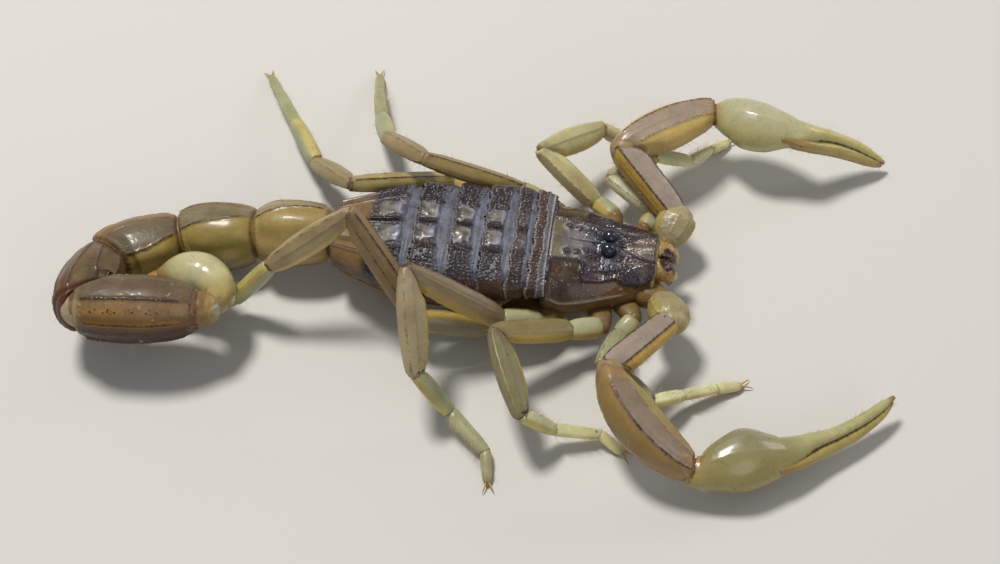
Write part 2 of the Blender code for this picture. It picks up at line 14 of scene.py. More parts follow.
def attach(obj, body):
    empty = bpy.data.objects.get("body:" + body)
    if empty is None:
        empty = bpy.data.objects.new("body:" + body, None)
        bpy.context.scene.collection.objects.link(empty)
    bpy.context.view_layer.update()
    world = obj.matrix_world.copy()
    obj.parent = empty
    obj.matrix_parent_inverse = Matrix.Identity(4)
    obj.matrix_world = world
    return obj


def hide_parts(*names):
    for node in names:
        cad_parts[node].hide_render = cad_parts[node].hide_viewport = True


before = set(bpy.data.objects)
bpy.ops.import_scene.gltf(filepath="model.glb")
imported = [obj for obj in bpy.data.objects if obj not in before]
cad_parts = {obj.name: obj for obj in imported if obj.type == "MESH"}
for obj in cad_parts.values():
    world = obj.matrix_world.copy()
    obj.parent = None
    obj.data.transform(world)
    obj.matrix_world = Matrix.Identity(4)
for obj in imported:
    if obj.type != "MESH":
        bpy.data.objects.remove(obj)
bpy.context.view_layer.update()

MM = 0.001
PLAN_CENTRE = np.array([-9.734, 0.98, 0.0])
FINE = 1.0

# ---------------------------------------------------------------- camera, floor and light

CAMERA = dict(azimuth=11.3, elevation=54.01, roll=-4.41, distance=96.61, target=(-8.65, -1.31, 2.0), lens=61.73)


def unit(v):
    v = np.asarray(v, float)
    return v / np.linalg.norm(v)


def camera_axes():
    a, e, r = (math.radians(CAMERA[k]) for k in ("azimuth", "elevation", "roll"))
    back = np.array([math.sin(a) * math.cos(e), -math.cos(a) * math.cos(e), math.sin(e)])
    right = unit(np.cross([0, 0, 1], back))
    up = np.cross(back, right)
    across = math.cos(r) * right + math.sin(r) * up
    upward = -math.sin(r) * right + math.cos(r) * up
    return across, upward, back


def add_camera():
    across, upward, back = camera_axes()
    eye = (np.array(CAMERA["target"]) + back * CAMERA["distance"] - PLAN_CENTRE) * MM
    data = bpy.data.cameras.new("camera")
    data.sensor_width = 36
    data.lens = CAMERA["lens"]
    data.clip_start = 0.001
    data.clip_end = 10
    obj = bpy.data.objects.new("camera", data)
    matrix = Matrix.Identity(4)
    for k, axis in enumerate((across, upward, back)):
        for j in range(3):
            matrix[j][k] = axis[j]
    for j in range(3):
        matrix[j][3] = eye[j]
    obj.matrix_world = matrix
    bpy.context.scene.collection.objects.link(obj)
    bpy.context.scene.camera = obj


def add_lamp(name, position, target, size, power, colour):
    data = bpy.data.lights.new(name, "AREA")
    data.shape = "DISK"
    data.size = size
    data.energy = power
    data.color = colour
    obj = bpy.data.objects.new(name, data)
    obj.location = position
    away = Vector(position) - Vector(target)
    obj.rotation_euler = away.to_track_quat("Z", "Y").to_euler()
    bpy.context.scene.collection.objects.link(obj)


def add_studio():
    floor_mesh = bpy.data.meshes.new("studio_floor")
    reach = 3.0
    floor_mesh.from_pydata([(-reach, -reach, 0), (reach, -reach, 0), (reach, reach, 0), (-reach, reach, 0)], [], [(0, 1, 2, 3)])
    floor = bpy.data.objects.new("studio_floor", floor_mesh)
    bpy.context.scene.collection.objects.link(floor)
    paint = bpy.data.materials.new("pale_floor")
    paint.use_nodes = True
    shader = paint.node_tree.nodes["Principled BSDF"]
    shader.inputs["Base Color"].default_value = (0.60, 0.575, 0.53, 1)
    shader.inputs["Roughness"].default_value = 0.9
    shader.inputs["Specular IOR Level"].default_value = 0.15
    floor_mesh.materials.append(paint)
    add_lamp("key", (-0.062, 0.050, 0.235), (0.0, 0.0, 0.003), 0.055, 0.56, (1.0, 0.985, 0.96))
    add_lamp("fill", (0.16, -0.22, 0.15), (0.0, 0.0, 0.002), 0.20, 0.15, (0.93, 0.96, 1.0))
    add_lamp("rim", (0.20, 0.12, 0.10), (0.005, 0.0, 0.003), 0.10, 0.09, (0.96, 0.98, 1.0))
    world = bpy.data.worlds.new("studio")
    world.use_nodes = True
    world.node_tree.nodes["Background"].inputs["Color"].default_value = (0.86, 0.90, 0.96, 1)
    world.node_tree.nodes["Background"].inputs["Strength"].default_value = 0.27
    bpy.context.scene.world = world
    bpy.context.scene.view_settings.view_transform = "Standard"


add_camera()
add_studio()

# ---------------------------------------------------------------- number tools


def hashed(i, j, k, seed):
    """Even random numbers from 0 to 1 for whole-number cells."""
    h = (i * 374761393 + j * 668265263 + k * 1440662683 + seed * 1274126177) & 0xFFFFFFFF
    h = ((h ^ (h >> 13)) * 1274126177) & 0xFFFFFFFF
    h = ((h ^ (h >> 16)) * 2246822519) & 0xFFFFFFFF
    h = h ^ (h >> 15)
    return (h & 0xFFFFFF) / float(0x1000000)


def noise(points, size, seed=0):
    """Smooth noise from -1 to 1 with features of about this size."""
    q = points / size
    cell = np.floor(q).astype(np.int64)
    f = q - cell
    f = f * f * (3 - 2 * f)
    total = 0.0
    for di in (0, 1):
        for dj in (0, 1):
            for dk in (0, 1):
                weight = (
                    (f[..., 0] if di else 1 - f[..., 0])
                    * (f[..., 1] if dj else 1 - f[..., 1])
                    * (f[..., 2] if dk else 1 - f[..., 2])
                )
                total = total + weight * hashed(cell[..., 0] + di, cell[..., 1] + dj, cell[..., 2] + dk, seed)
    return 2 * total - 1


def granules(u, v, size, seed, fill=1.0, radius=0.52):
    """Domes of cuticle on a jittered grid over a surface: height from 0 to 1."""
    qu, qv = u / size, v / size
    iu, iv = np.floor(qu).astype(np.int64), np.floor(qv).astype(np.int64)
    best = np.zeros(np.broadcast(u, v).shape)
    zero = np.zeros_like(iu)
    for du in (-1, 0, 1):
        for dv in (-1, 0, 1):
            cu, cv = iu + du, iv + dv
            x = cu + 0.15 + 0.7 * hashed(cu, cv, zero + 1, seed)
            y = cv + 0.15 + 0.7 * hashed(cu, cv, zero + 2, seed)
            wide = radius * (0.6 + 0.4 * hashed(cu, cv, zero + 3, seed))
            there = hashed(cu, cv, zero + 4, seed) < fill
            dome = 1 - ((qu - x) ** 2 + (qv - y) ** 2) / wide ** 2
            best = np.maximum(best, np.where(there, np.clip(dome, 0, 1), 0))
    return np.sqrt(best)


def smooth(low, high, x):
    t = np.clip((x - low) / (high - low), 0, 1)
    return t * t * (3 - 2 * t)


def bell(x, width):
    return np.exp(-((x / width) ** 2))


def blend(a, b, weight):
    weight = np.asarray(weight)[..., None]
    return np.asarray(a) * (1 - weight) + np.asarray(b) * weight


def curve(xs, values, at):
    """Smooth line through values at xs, without overshoot."""
    xs = np.asarray(xs, float)
    values = np.asarray(values, float)
    flat = values.ndim == 1
    if flat:
        values = values[:, None]
    steps = np.diff(xs)[:, None]
    slopes = np.diff(values, axis=0) / steps
    tangents = np.empty_like(values)
    tangents[0], tangents[-1] = slopes[0], slopes[-1]
    if len(xs) > 2:
        a, b = slopes[:-1], slopes[1:]
        mean = (steps[1:] * a + steps[:-1] * b) / (steps[1:] + steps[:-1])
        limit = 3 * np.minimum(np.abs(a), np.abs(b))
        tangents[1:-1] = np.where(a * b > 0, np.sign(mean) * np.minimum(np.abs(mean), limit), 0)
    at = np.clip(np.asarray(at, float), xs[0], xs[-1])
    k = np.clip(np.searchsorted(xs, at, side="right") - 1, 0, len(xs) - 2)
    h = steps[k, 0]
    t = ((at - xs[k]) / h)[:, None]
    h = h[:, None]
    made = (
        (2 * t ** 3 - 3 * t ** 2 + 1) * values[k]
        + (t ** 3 - 2 * t ** 2 + t) * h * tangents[k]
        + (-2 * t ** 3 + 3 * t ** 2) * values[k + 1]
        + (t ** 3 - t ** 2) * h * tangents[k + 1]
    )
    return made[:, 0] if flat else made


def path_through(points, at):
    """Smooth path through points; the places run from 0 to 1 by length."""
    points = np.asarray(points, float)
    if len(points) == 2:
        return points[0] + (points[1] - points[0]) * np.asarray(at)[:, None]
    gaps = np.linalg.norm(np.diff(points, axis=0), axis=1)
    xs = np.concatenate([[0], np.cumsum(gaps)]) / gaps.sum()
    tangents = np.empty_like(points)
    slopes = np.diff(points, axis=0) / np.diff(xs)[:, None]
    tangents[0], tangents[-1] = slopes[0], slopes[-1]
    before, after = np.diff(xs)[:-1, None], np.diff(xs)[1:, None]
    tangents[1:-1] = (slopes[:-1] * after + slopes[1:] * before) / (before + after)
    at = np.clip(np.asarray(at, float), 0, 1)
    k = np.clip(np.searchsorted(xs, at, side="right") - 1, 0, len(xs) - 2)
    h = (xs[k + 1] - xs[k])[:, None]
    t = (at - xs[k])[:, None] / h
    return (
        (2 * t ** 3 - 3 * t ** 2 + 1) * points[k]
        + (t ** 3 - 2 * t ** 2 + t) * h * tangents[k]
        + (-2 * t ** 3 + 3 * t ** 2) * points[k + 1]
        + (t ** 3 - t ** 2) * h * tangents[k + 1]
    )


def grid_normals(grid, wrap):
    along = np.gradient(grid, axis=0)
    if wrap:
        around = (np.roll(grid, -1, 1) - np.roll(grid, 1, 1)) / 2
    else:
        around = np.gradient(grid, axis=1)
    normal = np.cross(along, around)
    size = np.linalg.norm(normal, axis=-1, keepdims=True)
    normal = normal / np.maximum(size, 1e-9)
    out = grid - grid.mean(axis=1, keepdims=True)
    if (normal * out).sum() < 0:
        normal = -normal
    return normal


def heading(azimuth, elevation):
    a, e = math.radians(azimuth), math.radians(elevation)
    return np.array([math.cos(a) * math.cos(e), math.sin(a) * math.cos(e), math.sin(e)])


def chain(start, lengths, headings):
    points = [np.array(start, float)]
    for length, (azimuth, elevation) in zip(lengths, headings):
        points.append(points[-1] + heading(azimuth, elevation) * length)
    return points


# ---------------------------------------------------------------- meshes

PIECES = {}


class Skin:
    """Collects grids of points into one mesh, with a colour and a pigment value at each point."""

    def __init__(self):
        self.points, self.quads, self.tris, self.tint, self.dark, self.count = [], [], [], [], [], 0
        self.holes = []

    def grid(self, grid, tint, dark=0.0, wrap=True, close=(True, True), inward=False):
        m, n = grid.shape[:2]
        index = np.arange(m * n).reshape(m, n) + self.count
        right = np.roll(index, -1, 1) if wrap else index[:, 1:]
        left = index if wrap else index[:, :-1]
        quads = np.stack([left[:-1], right[:-1], right[1:], left[1:]], -1).reshape(-1, 4)
        normal = grid_normals(grid, wrap)
        middle = grid.mean(axis=1, keepdims=True)
        face = np.cross(grid[1:, :] - grid[:-1, :], np.roll(grid, -1, 1)[:-1] - grid[:-1])
        turned = (face * (grid - middle)[:-1]).sum() > 0
        if turned != inward:
            quads = quads[:, ::-1]
        self.points.append(grid.reshape(-1, 3))
        self.quads.append(quads)
        self.tint.append(np.broadcast_to(tint, (m, n, 3)).reshape(-1, 3))
        self.dark.append(np.broadcast_to(dark, (m, n)).reshape(-1))
        self.count += m * n
        for end, wanted in ((0, close[0]), (-1, close[1])):
            if not (wanted and wrap):
                continue
            loop = index[end]
            hub = self.count
            self.points.append(grid[end].mean(axis=0)[None])
            colour = np.broadcast_to(tint, (m, n, 3))[end].mean(axis=0)
            self.tint.append(colour[None])
            self.dark.append(np.array([np.broadcast_to(dark, (m, n))[end].mean()]))
            self.count += 1
            after = np.roll(loop, -1)
            fan = np.stack([loop, after, np.full(n, hub)], -1)
            if (end == -1) == (turned != inward):
                fan = fan[:, ::-1]
            self.tris.append(fan)
        return normal

    def build(self, name, paint, nodes=(), body="root", smooth_all=True):
        points = np.concatenate(self.points)
        points[:, 2] = np.maximum(points[:, 2], 0.004 * np.clip(points[:, 2] + 1, 0, 1))
        points = (points - PLAN_CENTRE) * MM
        quads = np.concatenate(self.quads) if self.quads else np.zeros((0, 4), np.int64)
        tris = np.concatenate(self.tris) if self.tris else np.zeros((0, 3), np.int64)
        mesh = bpy.data.meshes.new(name)
        mesh.vertices.add(len(points))
        mesh.vertices.foreach_set("co", points.astype(np.float32).ravel())
        loops = np.concatenate([quads.ravel(), tris.ravel()]).astype(np.int32)
        starts = np.concatenate([np.arange(len(quads)) * 4, len(quads) * 4 + np.arange(len(tris)) * 3]).astype(np.int32)
        mesh.loops.add(len(loops))
        mesh.loops.foreach_set("vertex_index", loops)
        mesh.polygons.add(len(starts))
        mesh.polygons.foreach_set("loop_start", starts)
        mesh.polygons.foreach_set("use_smooth", np.full(len(starts), smooth_all, bool))
        mesh.update(calc_edges=True)
        mesh.validate()
        if len(mesh.vertices) == len(points):
            tint = np.concatenate(self.tint)
            rgba = np.concatenate([np.clip(tint, 0, 1), np.ones((len(tint), 1))], 1).astype(np.float32)
            mesh.attributes.new("tint", "FLOAT_COLOR", "POINT").data.foreach_set("color", rgba.ravel())
            dark = np.clip(np.concatenate(self.dark), 0, 1).astype(np.float32)
            mesh.attributes.new("pigment", "FLOAT", "POINT").data.foreach_set("value", dark)
        mesh.materials.append(paint)
        obj = bpy.data.objects.new(name, mesh)
        bpy.context.scene.collection.objects.link(obj)
        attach(obj, body)
        if nodes:
            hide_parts(*nodes)
        PIECES[name] = len(quads) * 2 + len(tris)
        return obj


def sweep(rows, normal, step, before=None, after=None, reach=(0.6, 0.6), round_ends=(0.55, 0.55), power=2.3, gap=0.05, slant=1.25, blend_over=1.1):
    """Grid of points along a limb piece from (centre, half breadth, half thickness) rows.

    before and after are (neighbour direction, joint point) bends, on whose half-plane the end is mitred.
    """
    centres = np.array([r[0] for r in rows], float)
    gaps = np.linalg.norm(np.diff(centres, axis=0), axis=1)
    length = gaps.sum()
    at = np.concatenate([[0], np.cumsum(gaps)]) / length
    widths = np.array([[r[1], r[2]] for r in rows], float)
    count = max(8, int(length / step))
    t = np.linspace(0, 1, count + 1)
    line = path_through(centres, t)
    size = curve(at, widths, t)
    tangent = np.gradient(line, axis=0)
    tangent /= np.linalg.norm(tangent, axis=1, keepdims=True)
    caps = []
    turns = max(3, int(size[0].mean() / step * 0.8)), max(3, int(size[-1].mean() / step * 0.8))
    head = np.linspace(math.pi / 2 * 0.97, 0, turns[0], endpoint=False)
    tail = np.linspace(0, math.pi / 2 * 0.97, turns[1] + 1)[1:]
    bulge0 = round_ends[0] * size[0].mean()
    bulge1 = round_ends[1] * size[-1].mean()
    line = np.concatenate([line[0] - tangent[0] * bulge0 * np.sin(head)[:, None], line, line[-1] + tangent[-1] * bulge1 * np.sin(tail)[:, None]])
    size = np.concatenate([size[0] * np.cos(head)[:, None], size, size[-1] * np.cos(tail)[:, None]])
    t = np.concatenate([np.zeros(len(head)), t, np.ones(len(tail))])
    tangent = np.concatenate([np.repeat(tangent[:1], len(head), 0), tangent, np.repeat(tangent[-1:], len(tail), 0)])
    normal = np.asarray(normal, float)
    deep = normal - tangent * (tangent @ normal)[:, None]
    deep /= np.linalg.norm(deep, axis=1, keepdims=True)
    wide = np.cross(tangent, deep)
    around = max(12, int(2 * math.pi * widths.max() / step / 2) * 2)
    angle = 2 * np.pi * (np.arange(around) + 0.5) / around - math.pi / 2
    c, s = np.cos(angle), np.sin(angle)
    a, b = np.maximum(size[:, :1], 1e-4), np.maximum(size[:, 1:], 1e-4)
    radius = (np.abs(c / a) ** power + np.abs(s / b) ** power) ** (-1 / power)
    grid = line[:, None] + radius[..., None] * (c[None, :, None] * wide[:, None] + s[None, :, None] * deep[:, None])
    places = t * length
    for bend, at_start, room in ((before, True, reach[0]), (after, False, reach[1])):
        if bend is None:
            continue
        neighbour, joint = unit(bend[0]), np.asarray(bend[1], float)
        axis = tangent[0] if at_start else tangent[-1]
        half_plane = unit(axis + neighbour)
        slope = max(axis @ half_plane, 0.05)
        inward = 1 if at_start else -1
        out = grid - line[:, None]
        out = out - (out @ axis)[..., None] * axis
        size_out = np.linalg.norm(out, axis=-1)
        shift = -inward * (out @ half_plane) / slope
        limit = np.where(shift > 0, slant, room) * size_out
        shift = np.clip(shift, -limit, limit)
        from_end = places if at_start else length - places
        weight = 1 - smooth(0, blend_over * 2 * widths.max(), from_end)
        grid = grid + inward * (weight[:, None] * shift)[..., None] * axis
        short = inward * ((grid - joint) @ half_plane)
        grid = grid + (inward * np.maximum(gap - short, 0) / slope)[..., None] * axis
    info = dict(t=t[:, None], s=places[:, None], angle=np.degrees(angle)[None] % 360, radius=radius, length=length, line=line, tangent=tangent, wide=wide, deep=deep)
    return grid, info


def turn(angle, target):
    """Signed degrees from target, from -180 to 180."""
    return (angle - target + 180) % 360 - 180


def raised(grid, height, wrap=True):
    return grid + grid_normals(grid, wrap) * height[..., None]


class Keels:
    """Ridges along a piece: adds their height and their dark pigment."""

    def __init__(self, info):
        self.info = info
        self.height = np.zeros(np.broadcast(info["s"], info["angle"]).shape)
        self.dark = np.zeros_like(self.height)

    def add(self, angle, height=0.05, width=0.09, beads=0.17, bead_height=0.035, dark=0.9, spread=1.0, start=0.0, end=1.0, seed=1, patchy=0.25):
        info = self.info
        angle = angle(info["t"]) if callable(angle) else angle
        off = np.radians(turn(info["angle"], angle)) * np.maximum(info["radius"], 0.02)
        inside = smooth(start, start + 0.05, info["t"]) * (1 - smooth(end - 0.05, end, info["t"]))
        wobble = 0.02 * np.sin(info["s"] * 9.0 + seed)
        ridge = bell(off + wobble, width)
        phase = info["s"] / beads + 0.35 * np.sin(info["s"] * 3.7 + seed)
        bead = np.abs(np.cos(np.pi * phase)) ** 0.7
        self.height += inside * (height * ridge + bead_height * bead * bell(off, width * 0.75))
        worn = 1 - patchy * (0.5 + 0.5 * np.sin(info["s"] * 5.3 + 2.1 * seed) * np.sin(info["s"] * 1.9 + seed))
        line = bell(off, width * spread) * (0.62 + 0.38 * bead) * worn
        self.dark = np.maximum(self.dark, inside * line * dark)
        return self


# ---------------------------------------------------------------- materials


def cuticle(name, pigment=(0.030, 0.017, 0.012), rough=0.34, rough_spread=0.14, mottle=0.16, grain=0.5, grain_size=0.10, flesh=0.0, coat=0.25, coat_rough=0.12, specks=0.0, speck_colour=(0.02, 0.012, 0.01), shine=0.5):
    """Horny cuticle: the piece's own colour, mottled, with dark pigment, specks and a fine shagreen."""
    paint = bpy.data.materials.new(name)
    paint.use_nodes = True
    tree = paint.node_tree
    nodes, links = tree.nodes, tree.links
    shader = nodes["Principled BSDF"]

    def node(kind, **values):
        made = nodes.new(kind)
        for key, value in values.items():
            setattr(made, key, value)
        return made

    def attribute(label):
        made = node("ShaderNodeAttribute", attribute_name=label)
        return made

    place = node("ShaderNodeTexCoord").outputs["Object"]

    def texture(size, detail, roughness=0.55):
        made = node("ShaderNodeTexNoise")
        made.inputs["Scale"].default_value = 1000.0 / size
        made.inputs["Detail"].default_value = detail
        made.inputs["Roughness"].default_value = roughness
        links.new(place, made.inputs["Vector"])
        return made.outputs["Fac"]

    def span(value, low, high, to_low, to_high):
        made = node("ShaderNodeMapRange")
        made.inputs["From Min"].default_value = low
        made.inputs["From Max"].default_value = high
        made.inputs["To Min"].default_value = to_low
        made.inputs["To Max"].default_value = to_high
        links.new(value, made.inputs["Value"])
        return made.outputs["Result"]

    def maths(operation, a, b):
        made = node("ShaderNodeMath", operation=operation)
        for socket, value in zip(made.inputs, (a, b)):
            if isinstance(value, (int, float)):
                socket.default_value = value
            else:
                links.new(value, socket)
        return made.outputs[0]

    def mixed(kind, factor, a, b):
        made = node("ShaderNodeMix", data_type="RGBA", blend_type=kind)
        for socket, value in ((made.inputs["Factor"], factor), (made.inputs["A"], a), (made.inputs["B"], b)):
            if isinstance(value, (int, float)):
                socket.default_value = value
            elif isinstance(value, tuple):
                socket.default_value = (*value, 1.0)
            else:
                links.new(value, socket)
        return made.outputs["Result"]

    own = attribute("tint").outputs["Color"]
    cloud = texture(1.1, 3)
    fine = texture(0.22, 2)
    shade = node("ShaderNodeCombineColor")
    for socket, weight in zip(shade.inputs, (1.0, 1.12, 1.35)):
        links.new(span(maths("ADD", maths("MULTIPLY", cloud, 0.6), maths("MULTIPLY", fine, 0.4)), 0.3, 0.7, 1 - mottle * weight, 1 + mottle * weight), socket)
    colour = mixed("MULTIPLY", 1.0, own, shade.outputs["Color"])
    dark = attribute("pigment").outputs["Fac"]
    edge = maths("ADD", dark, maths("MULTIPLY", maths("SUBTRACT", texture(0.13, 2), 0.5), 0.9))
    colour = mixed("MIX", span(edge, 0.22, 0.62, 0.0, 0.96), colour, pigment)
    if specks:
        cells = node("ShaderNodeTexVoronoi")
        cells.inputs["Scale"].default_value = 1000.0 / 0.62
        links.new(place, cells.inputs["Vector"])
        thinned = node("ShaderNodeSeparateColor")
        links.new(cells.outputs["Color"], thinned.inputs["Color"])
        dot = maths("MULTIPLY", span(cells.outputs["Distance"], 0.08, 0.14, 1.0, 0.0), span(thinned.outputs["Red"], 1 - specks - 0.01, 1 - specks, 0.0, 1.0))
        colour = mixed("MIX", maths("MULTIPLY", dot, 0.9), colour, speck_colour)
    links.new(colour, shader.inputs["Base Color"])
    links.new(span(maths("ADD", maths("MULTIPLY", fine, 0.5), maths("MULTIPLY", cloud, 0.5)), 0.3, 0.7, rough - rough_spread, rough + rough_spread), shader.inputs["Roughness"])
    if grain:
        bump = node("ShaderNodeBump")
        bump.inputs["Strength"].default_value = grain
        bump.inputs["Distance"].default_value = 0.000022
        links.new(texture(grain_size, 3, 0.6), bump.inputs["Height"])
        links.new(bump.outputs["Normal"], shader.inputs["Normal"])
    shader.inputs["IOR"].default_value = 1.53
    shader.inputs["Specular IOR Level"].default_value = shine
    shader.inputs["Coat Weight"].default_value = coat
    shader.inputs["Coat Roughness"].default_value = coat_rough
    if flesh:
        shader.inputs["Subsurface Weight"].default_value = flesh
        shader.inputs["Subsurface Radius"].default_value = (1.0, 0.55, 0.22)
        shader.inputs["Subsurface Scale"].default_value = 0.00055
    return paint


SHIELD = cuticle("shield_cuticle", pigment=(0.014, 0.008, 0.013), rough=0.31, mottle=0.22, grain=0.55, grain_size=0.06, flesh=0.12, coat=0.32, coat_rough=0.10, shine=0.40)
TRUNK = cuticle("trunk_cuticle", pigment=(0.013, 0.009, 0.012), rough=0.38, mottle=0.28, grain=0.30, grain_size=0.05, flesh=0.08, coat=0.17, coat_rough=0.14, shine=0.32)
SOFT_BACK = cuticle("trunk_membrane", pigment=(0.02, 0.018, 0.022), rough=0.50, mottle=0.30, grain=1.0, grain_size=0.07, flesh=0.10, coat=0.06, coat_rough=0.2, shine=0.3)
MEMBRANE = cuticle("joint_membrane", pigment=(0.03, 0.015, 0.01), rough=0.50, mottle=0.22, grain=0.6, grain_size=0.14, flesh=0.30, coat=0.08, coat_rough=0.2, shine=0.35)
LIMB = cuticle("limb_cuticle", pigment=(0.042, 0.022, 0.016), rough=0.40, mottle=0.15, grain=0.45, grain_size=0.09, flesh=0.42, coat=0.13, coat_rough=0.13, specks=0.05, shine=0.30)
PALM = cuticle("palm_cuticle", pigment=(0.05, 0.022, 0.014), rough=0.30, rough_spread=0.08, mottle=0.10, grain=0.22, grain_size=0.12, flesh=0.45, coat=0.38, coat_rough=0.13, specks=0.035, shine=0.4)
TAIL = cuticle("tail_cuticle", pigment=(0.042, 0.020, 0.013), rough=0.38, mottle=0.19, grain=0.5, grain_size=0.10, flesh=0.36, coat=0.16, coat_rough=0.12, specks=0.05, shine=0.28)
BULB = cuticle("bulb_cuticle", pigment=(0.04, 0.018, 0.01), rough=0.22, rough_spread=0.06, mottle=0.10, grain=0.2, grain_size=0.12, flesh=0.42, coat=0.5, coat_rough=0.08, shine=0.4)
JAW = cuticle("jaw_cuticle", pigment=(0.018, 0.009, 0.007), rough=0.28, mottle=0.16, grain=0.3, grain_size=0.07, flesh=0.25, coat=0.4, coat_rough=0.1)
HORN = cuticle("claw_horn", pigment=(0.02, 0.01, 0.006), rough=0.26, mottle=0.12, grain=0.15, grain_size=0.06, flesh=0.1, coat=0.4, coat_rough=0.1)


def eye_paint():
    paint = bpy.data.materials.new("eye_lens")
    paint.use_nodes = True
    tree = paint.node_tree
    shader = tree.nodes["Principled BSDF"]
    facing = tree.nodes.new("ShaderNodeTexNoise")
    facing.inputs["Scale"].default_value = 3200
    place = tree.nodes.new("ShaderNodeTexCoord")
    tree.links.new(place.outputs["Object"], facing.inputs["Vector"])
    ramp = tree.nodes.new("ShaderNodeValToRGB")
    ramp.color_ramp.elements[0].color = (0.004, 0.004, 0.006, 1)
    ramp.color_ramp.elements[1].color = (0.012, 0.010, 0.018, 1)
    tree.links.new(facing.outputs["Fac"], ramp.inputs["Fac"])
    tree.links.new(ramp.outputs["Color"], shader.inputs["Base Color"])
    shader.inputs["Roughness"].default_value = 0.35
    shader.inputs["IOR"].default_value = 1.55
    shader.inputs["Specular IOR Level"].default_value = 0.45
    shader.inputs["Specular Tint"].default_value = (0.60, 0.74, 1.0, 1)
    shader.inputs["Coat Weight"].default_value = 1.0
    shader.inputs["Coat Roughness"].default_value = 0.06
    shader.inputs["Coat Tint"].default_value = (0.82, 0.88, 1.0, 1)
    return paint


EYE = eye_paint()

# Colours in linear light.
MAUVE = np.array([0.250, 0.200, 0.145])
MAUVE_DEEP = np.array([0.190, 0.130, 0.100])
AMBER = np.array([0.520, 0.300, 0.060])
YELLOW = np.array([0.540, 0.370, 0.080])
GREEN = np.array([0.430, 0.420, 0.205])
OLIVE = np.array([0.400, 0.290, 0.060])
BROWN = np.array([0.120, 0.062, 0.028])
RUST = np.array([0.180, 0.065, 0.022])
# Amber of the coxae, darkened with painted shade from the body above them; also used for other joints.
SHADED_COXA_AMBER = np.array([0.158, 0.092, 0.026])
BLUE = np.array([0.118, 0.122, 0.145])
SOOT = np.array([0.030, 0.021, 0.024])
TAN = np.array([0.330, 0.260, 0.220])
CREAM = np.array([0.560, 0.480, 0.330])

# ---------------------------------------------------------------- legs

LEG_LENGTHS = (
    (1.60, 3.40, 3.30, 2.40, 2.10, 1.45),
    (1.80, 4.70, 4.90, 2.70, 2.60, 1.50),
    (2.30, 6.30, 5.40, 3.40, 3.00, 1.70),
    (4.00, 7.10, 5.80, 4.10, 3.40, 1.90),
)
LEG_GIRTH = (0.80, 0.90, 1.0, 1.0)
HIPS = ((-0.89, 3.14, 2.21), (-2.62, 3.85, 2.13), (-5.95, 3.95, 2.20), (-8.93, 4.12, 1.42))
LEG_REACH = {"R1": (1.17, 3.22, 3.30, 2.40, 2.10, 1.45)}
LEG_POSE = {
    "R1": ((-127, -14), (-103, 22.5), (-30, -13), (41, -31), (28, -15), (24, -15)),
    "R2": ((-158, 13), (-153, 25), (-66, -11), (22, -53), (9, -17), (-30, -17)),
    "R3": ((-165, 20), (-177, 40), (-78, -31), (-11, -62), (-41, -12), (-79, -15)),
    "R4": ((-168, 21), (144, 48), (-162, -34), (-178, -53), (-157, -15), (-152, -11)),
    "L1": ((63, -9), (151, 16), (45, -9), (19, -26), (53, -20), (45, -15)),
    "L2": ((134, -13), (165, 46), (48, -21), (24, -48), (58, -14), (63, -14)),
    "L3": ((155, 9), (-173, 29), (131, -29), (110, -26), (104, -16), (101, -14)),
    "L4": ((150, 2), (-146, 28), (130, -31), (121, -10), (121, -8), (120, -10)),
}
TOE_HEIGHT = 0.24
UP = np.array([0.0, 0.0, 1.0])

# Colour of the broad faces of the femur and patella, leg by leg from the front, on each side.
# Besides the legs' own colour they carry painted light and shade: the far-side (L) faces are painted lighter, and some
# near-side faces darker where the legs lie in shade.
FEMUR_FACE = {
    "R": np.array([(0.350, 0.350, 0.200), (0.225, 0.178, 0.068), (0.205, 0.148, 0.072), (0.225, 0.150, 0.060)]),
    "L": np.array([(0.580, 0.550, 0.360), (0.600, 0.520, 0.260), (0.300, 0.215, 0.062), (0.430, 0.345, 0.130)]),
}
PATELLA_FACE = {
    "R": np.array([(0.250, 0.205, 0.120), (0.190, 0.165, 0.072), (0.325, 0.262, 0.142), (0.350, 0.265, 0.125)]),
    "L": np.array([(0.450, 0.410, 0.220), (0.450, 0.405, 0.190), (0.290, 0.215, 0.090), (0.290, 0.220, 0.085)]),
}

BRISTLES = []


def plane_normal(first, second, away):
    normal = unit(np.cross(first, second))
    return normal if normal @ away > 0 else -normal


def between(start, end, profile, scale=1.0):
    """Rows of a straight piece from (share, half breadth, half thickness)."""
    return [(start + (end - start) * share, a * scale, b * scale) for share, a, b in profile]


def limb_colour(info, grid, face, ventral, edge_colour, mauve=0.0, knee=0.0, seed=1):
    """Broad faces in the leg's colour, an amber keel edge below, and a mauve flush towards the knee."""
    v = np.cos(np.radians(info["angle"] - ventral))
    tint = np.broadcast_to(face, grid.shape)
    flush = np.clip(0.5 * smooth(0.45, -0.6, v) * mauve + knee, 0, 1) * np.ones(grid.shape[:2])
    tint = blend(tint, np.array([0.185, 0.128, 0.082]), 0.75 * flush)
    # The horn is thinner, so lighter, along the middle of a face than beside its keels.
    tint = tint * (1 + 0.12 * np.cos(np.radians(2 * info["angle"]))[..., None])
    tint = blend(tint, edge_colour, 0.85 * smooth(0.62, 0.93, v) * np.ones(grid.shape[:2]))
    cloud = noise(grid, 0.9, seed)
    tint = tint * (1 + 0.10 * cloud[..., None] * np.array([1.0, 1.0, 1.2]))
    return tint


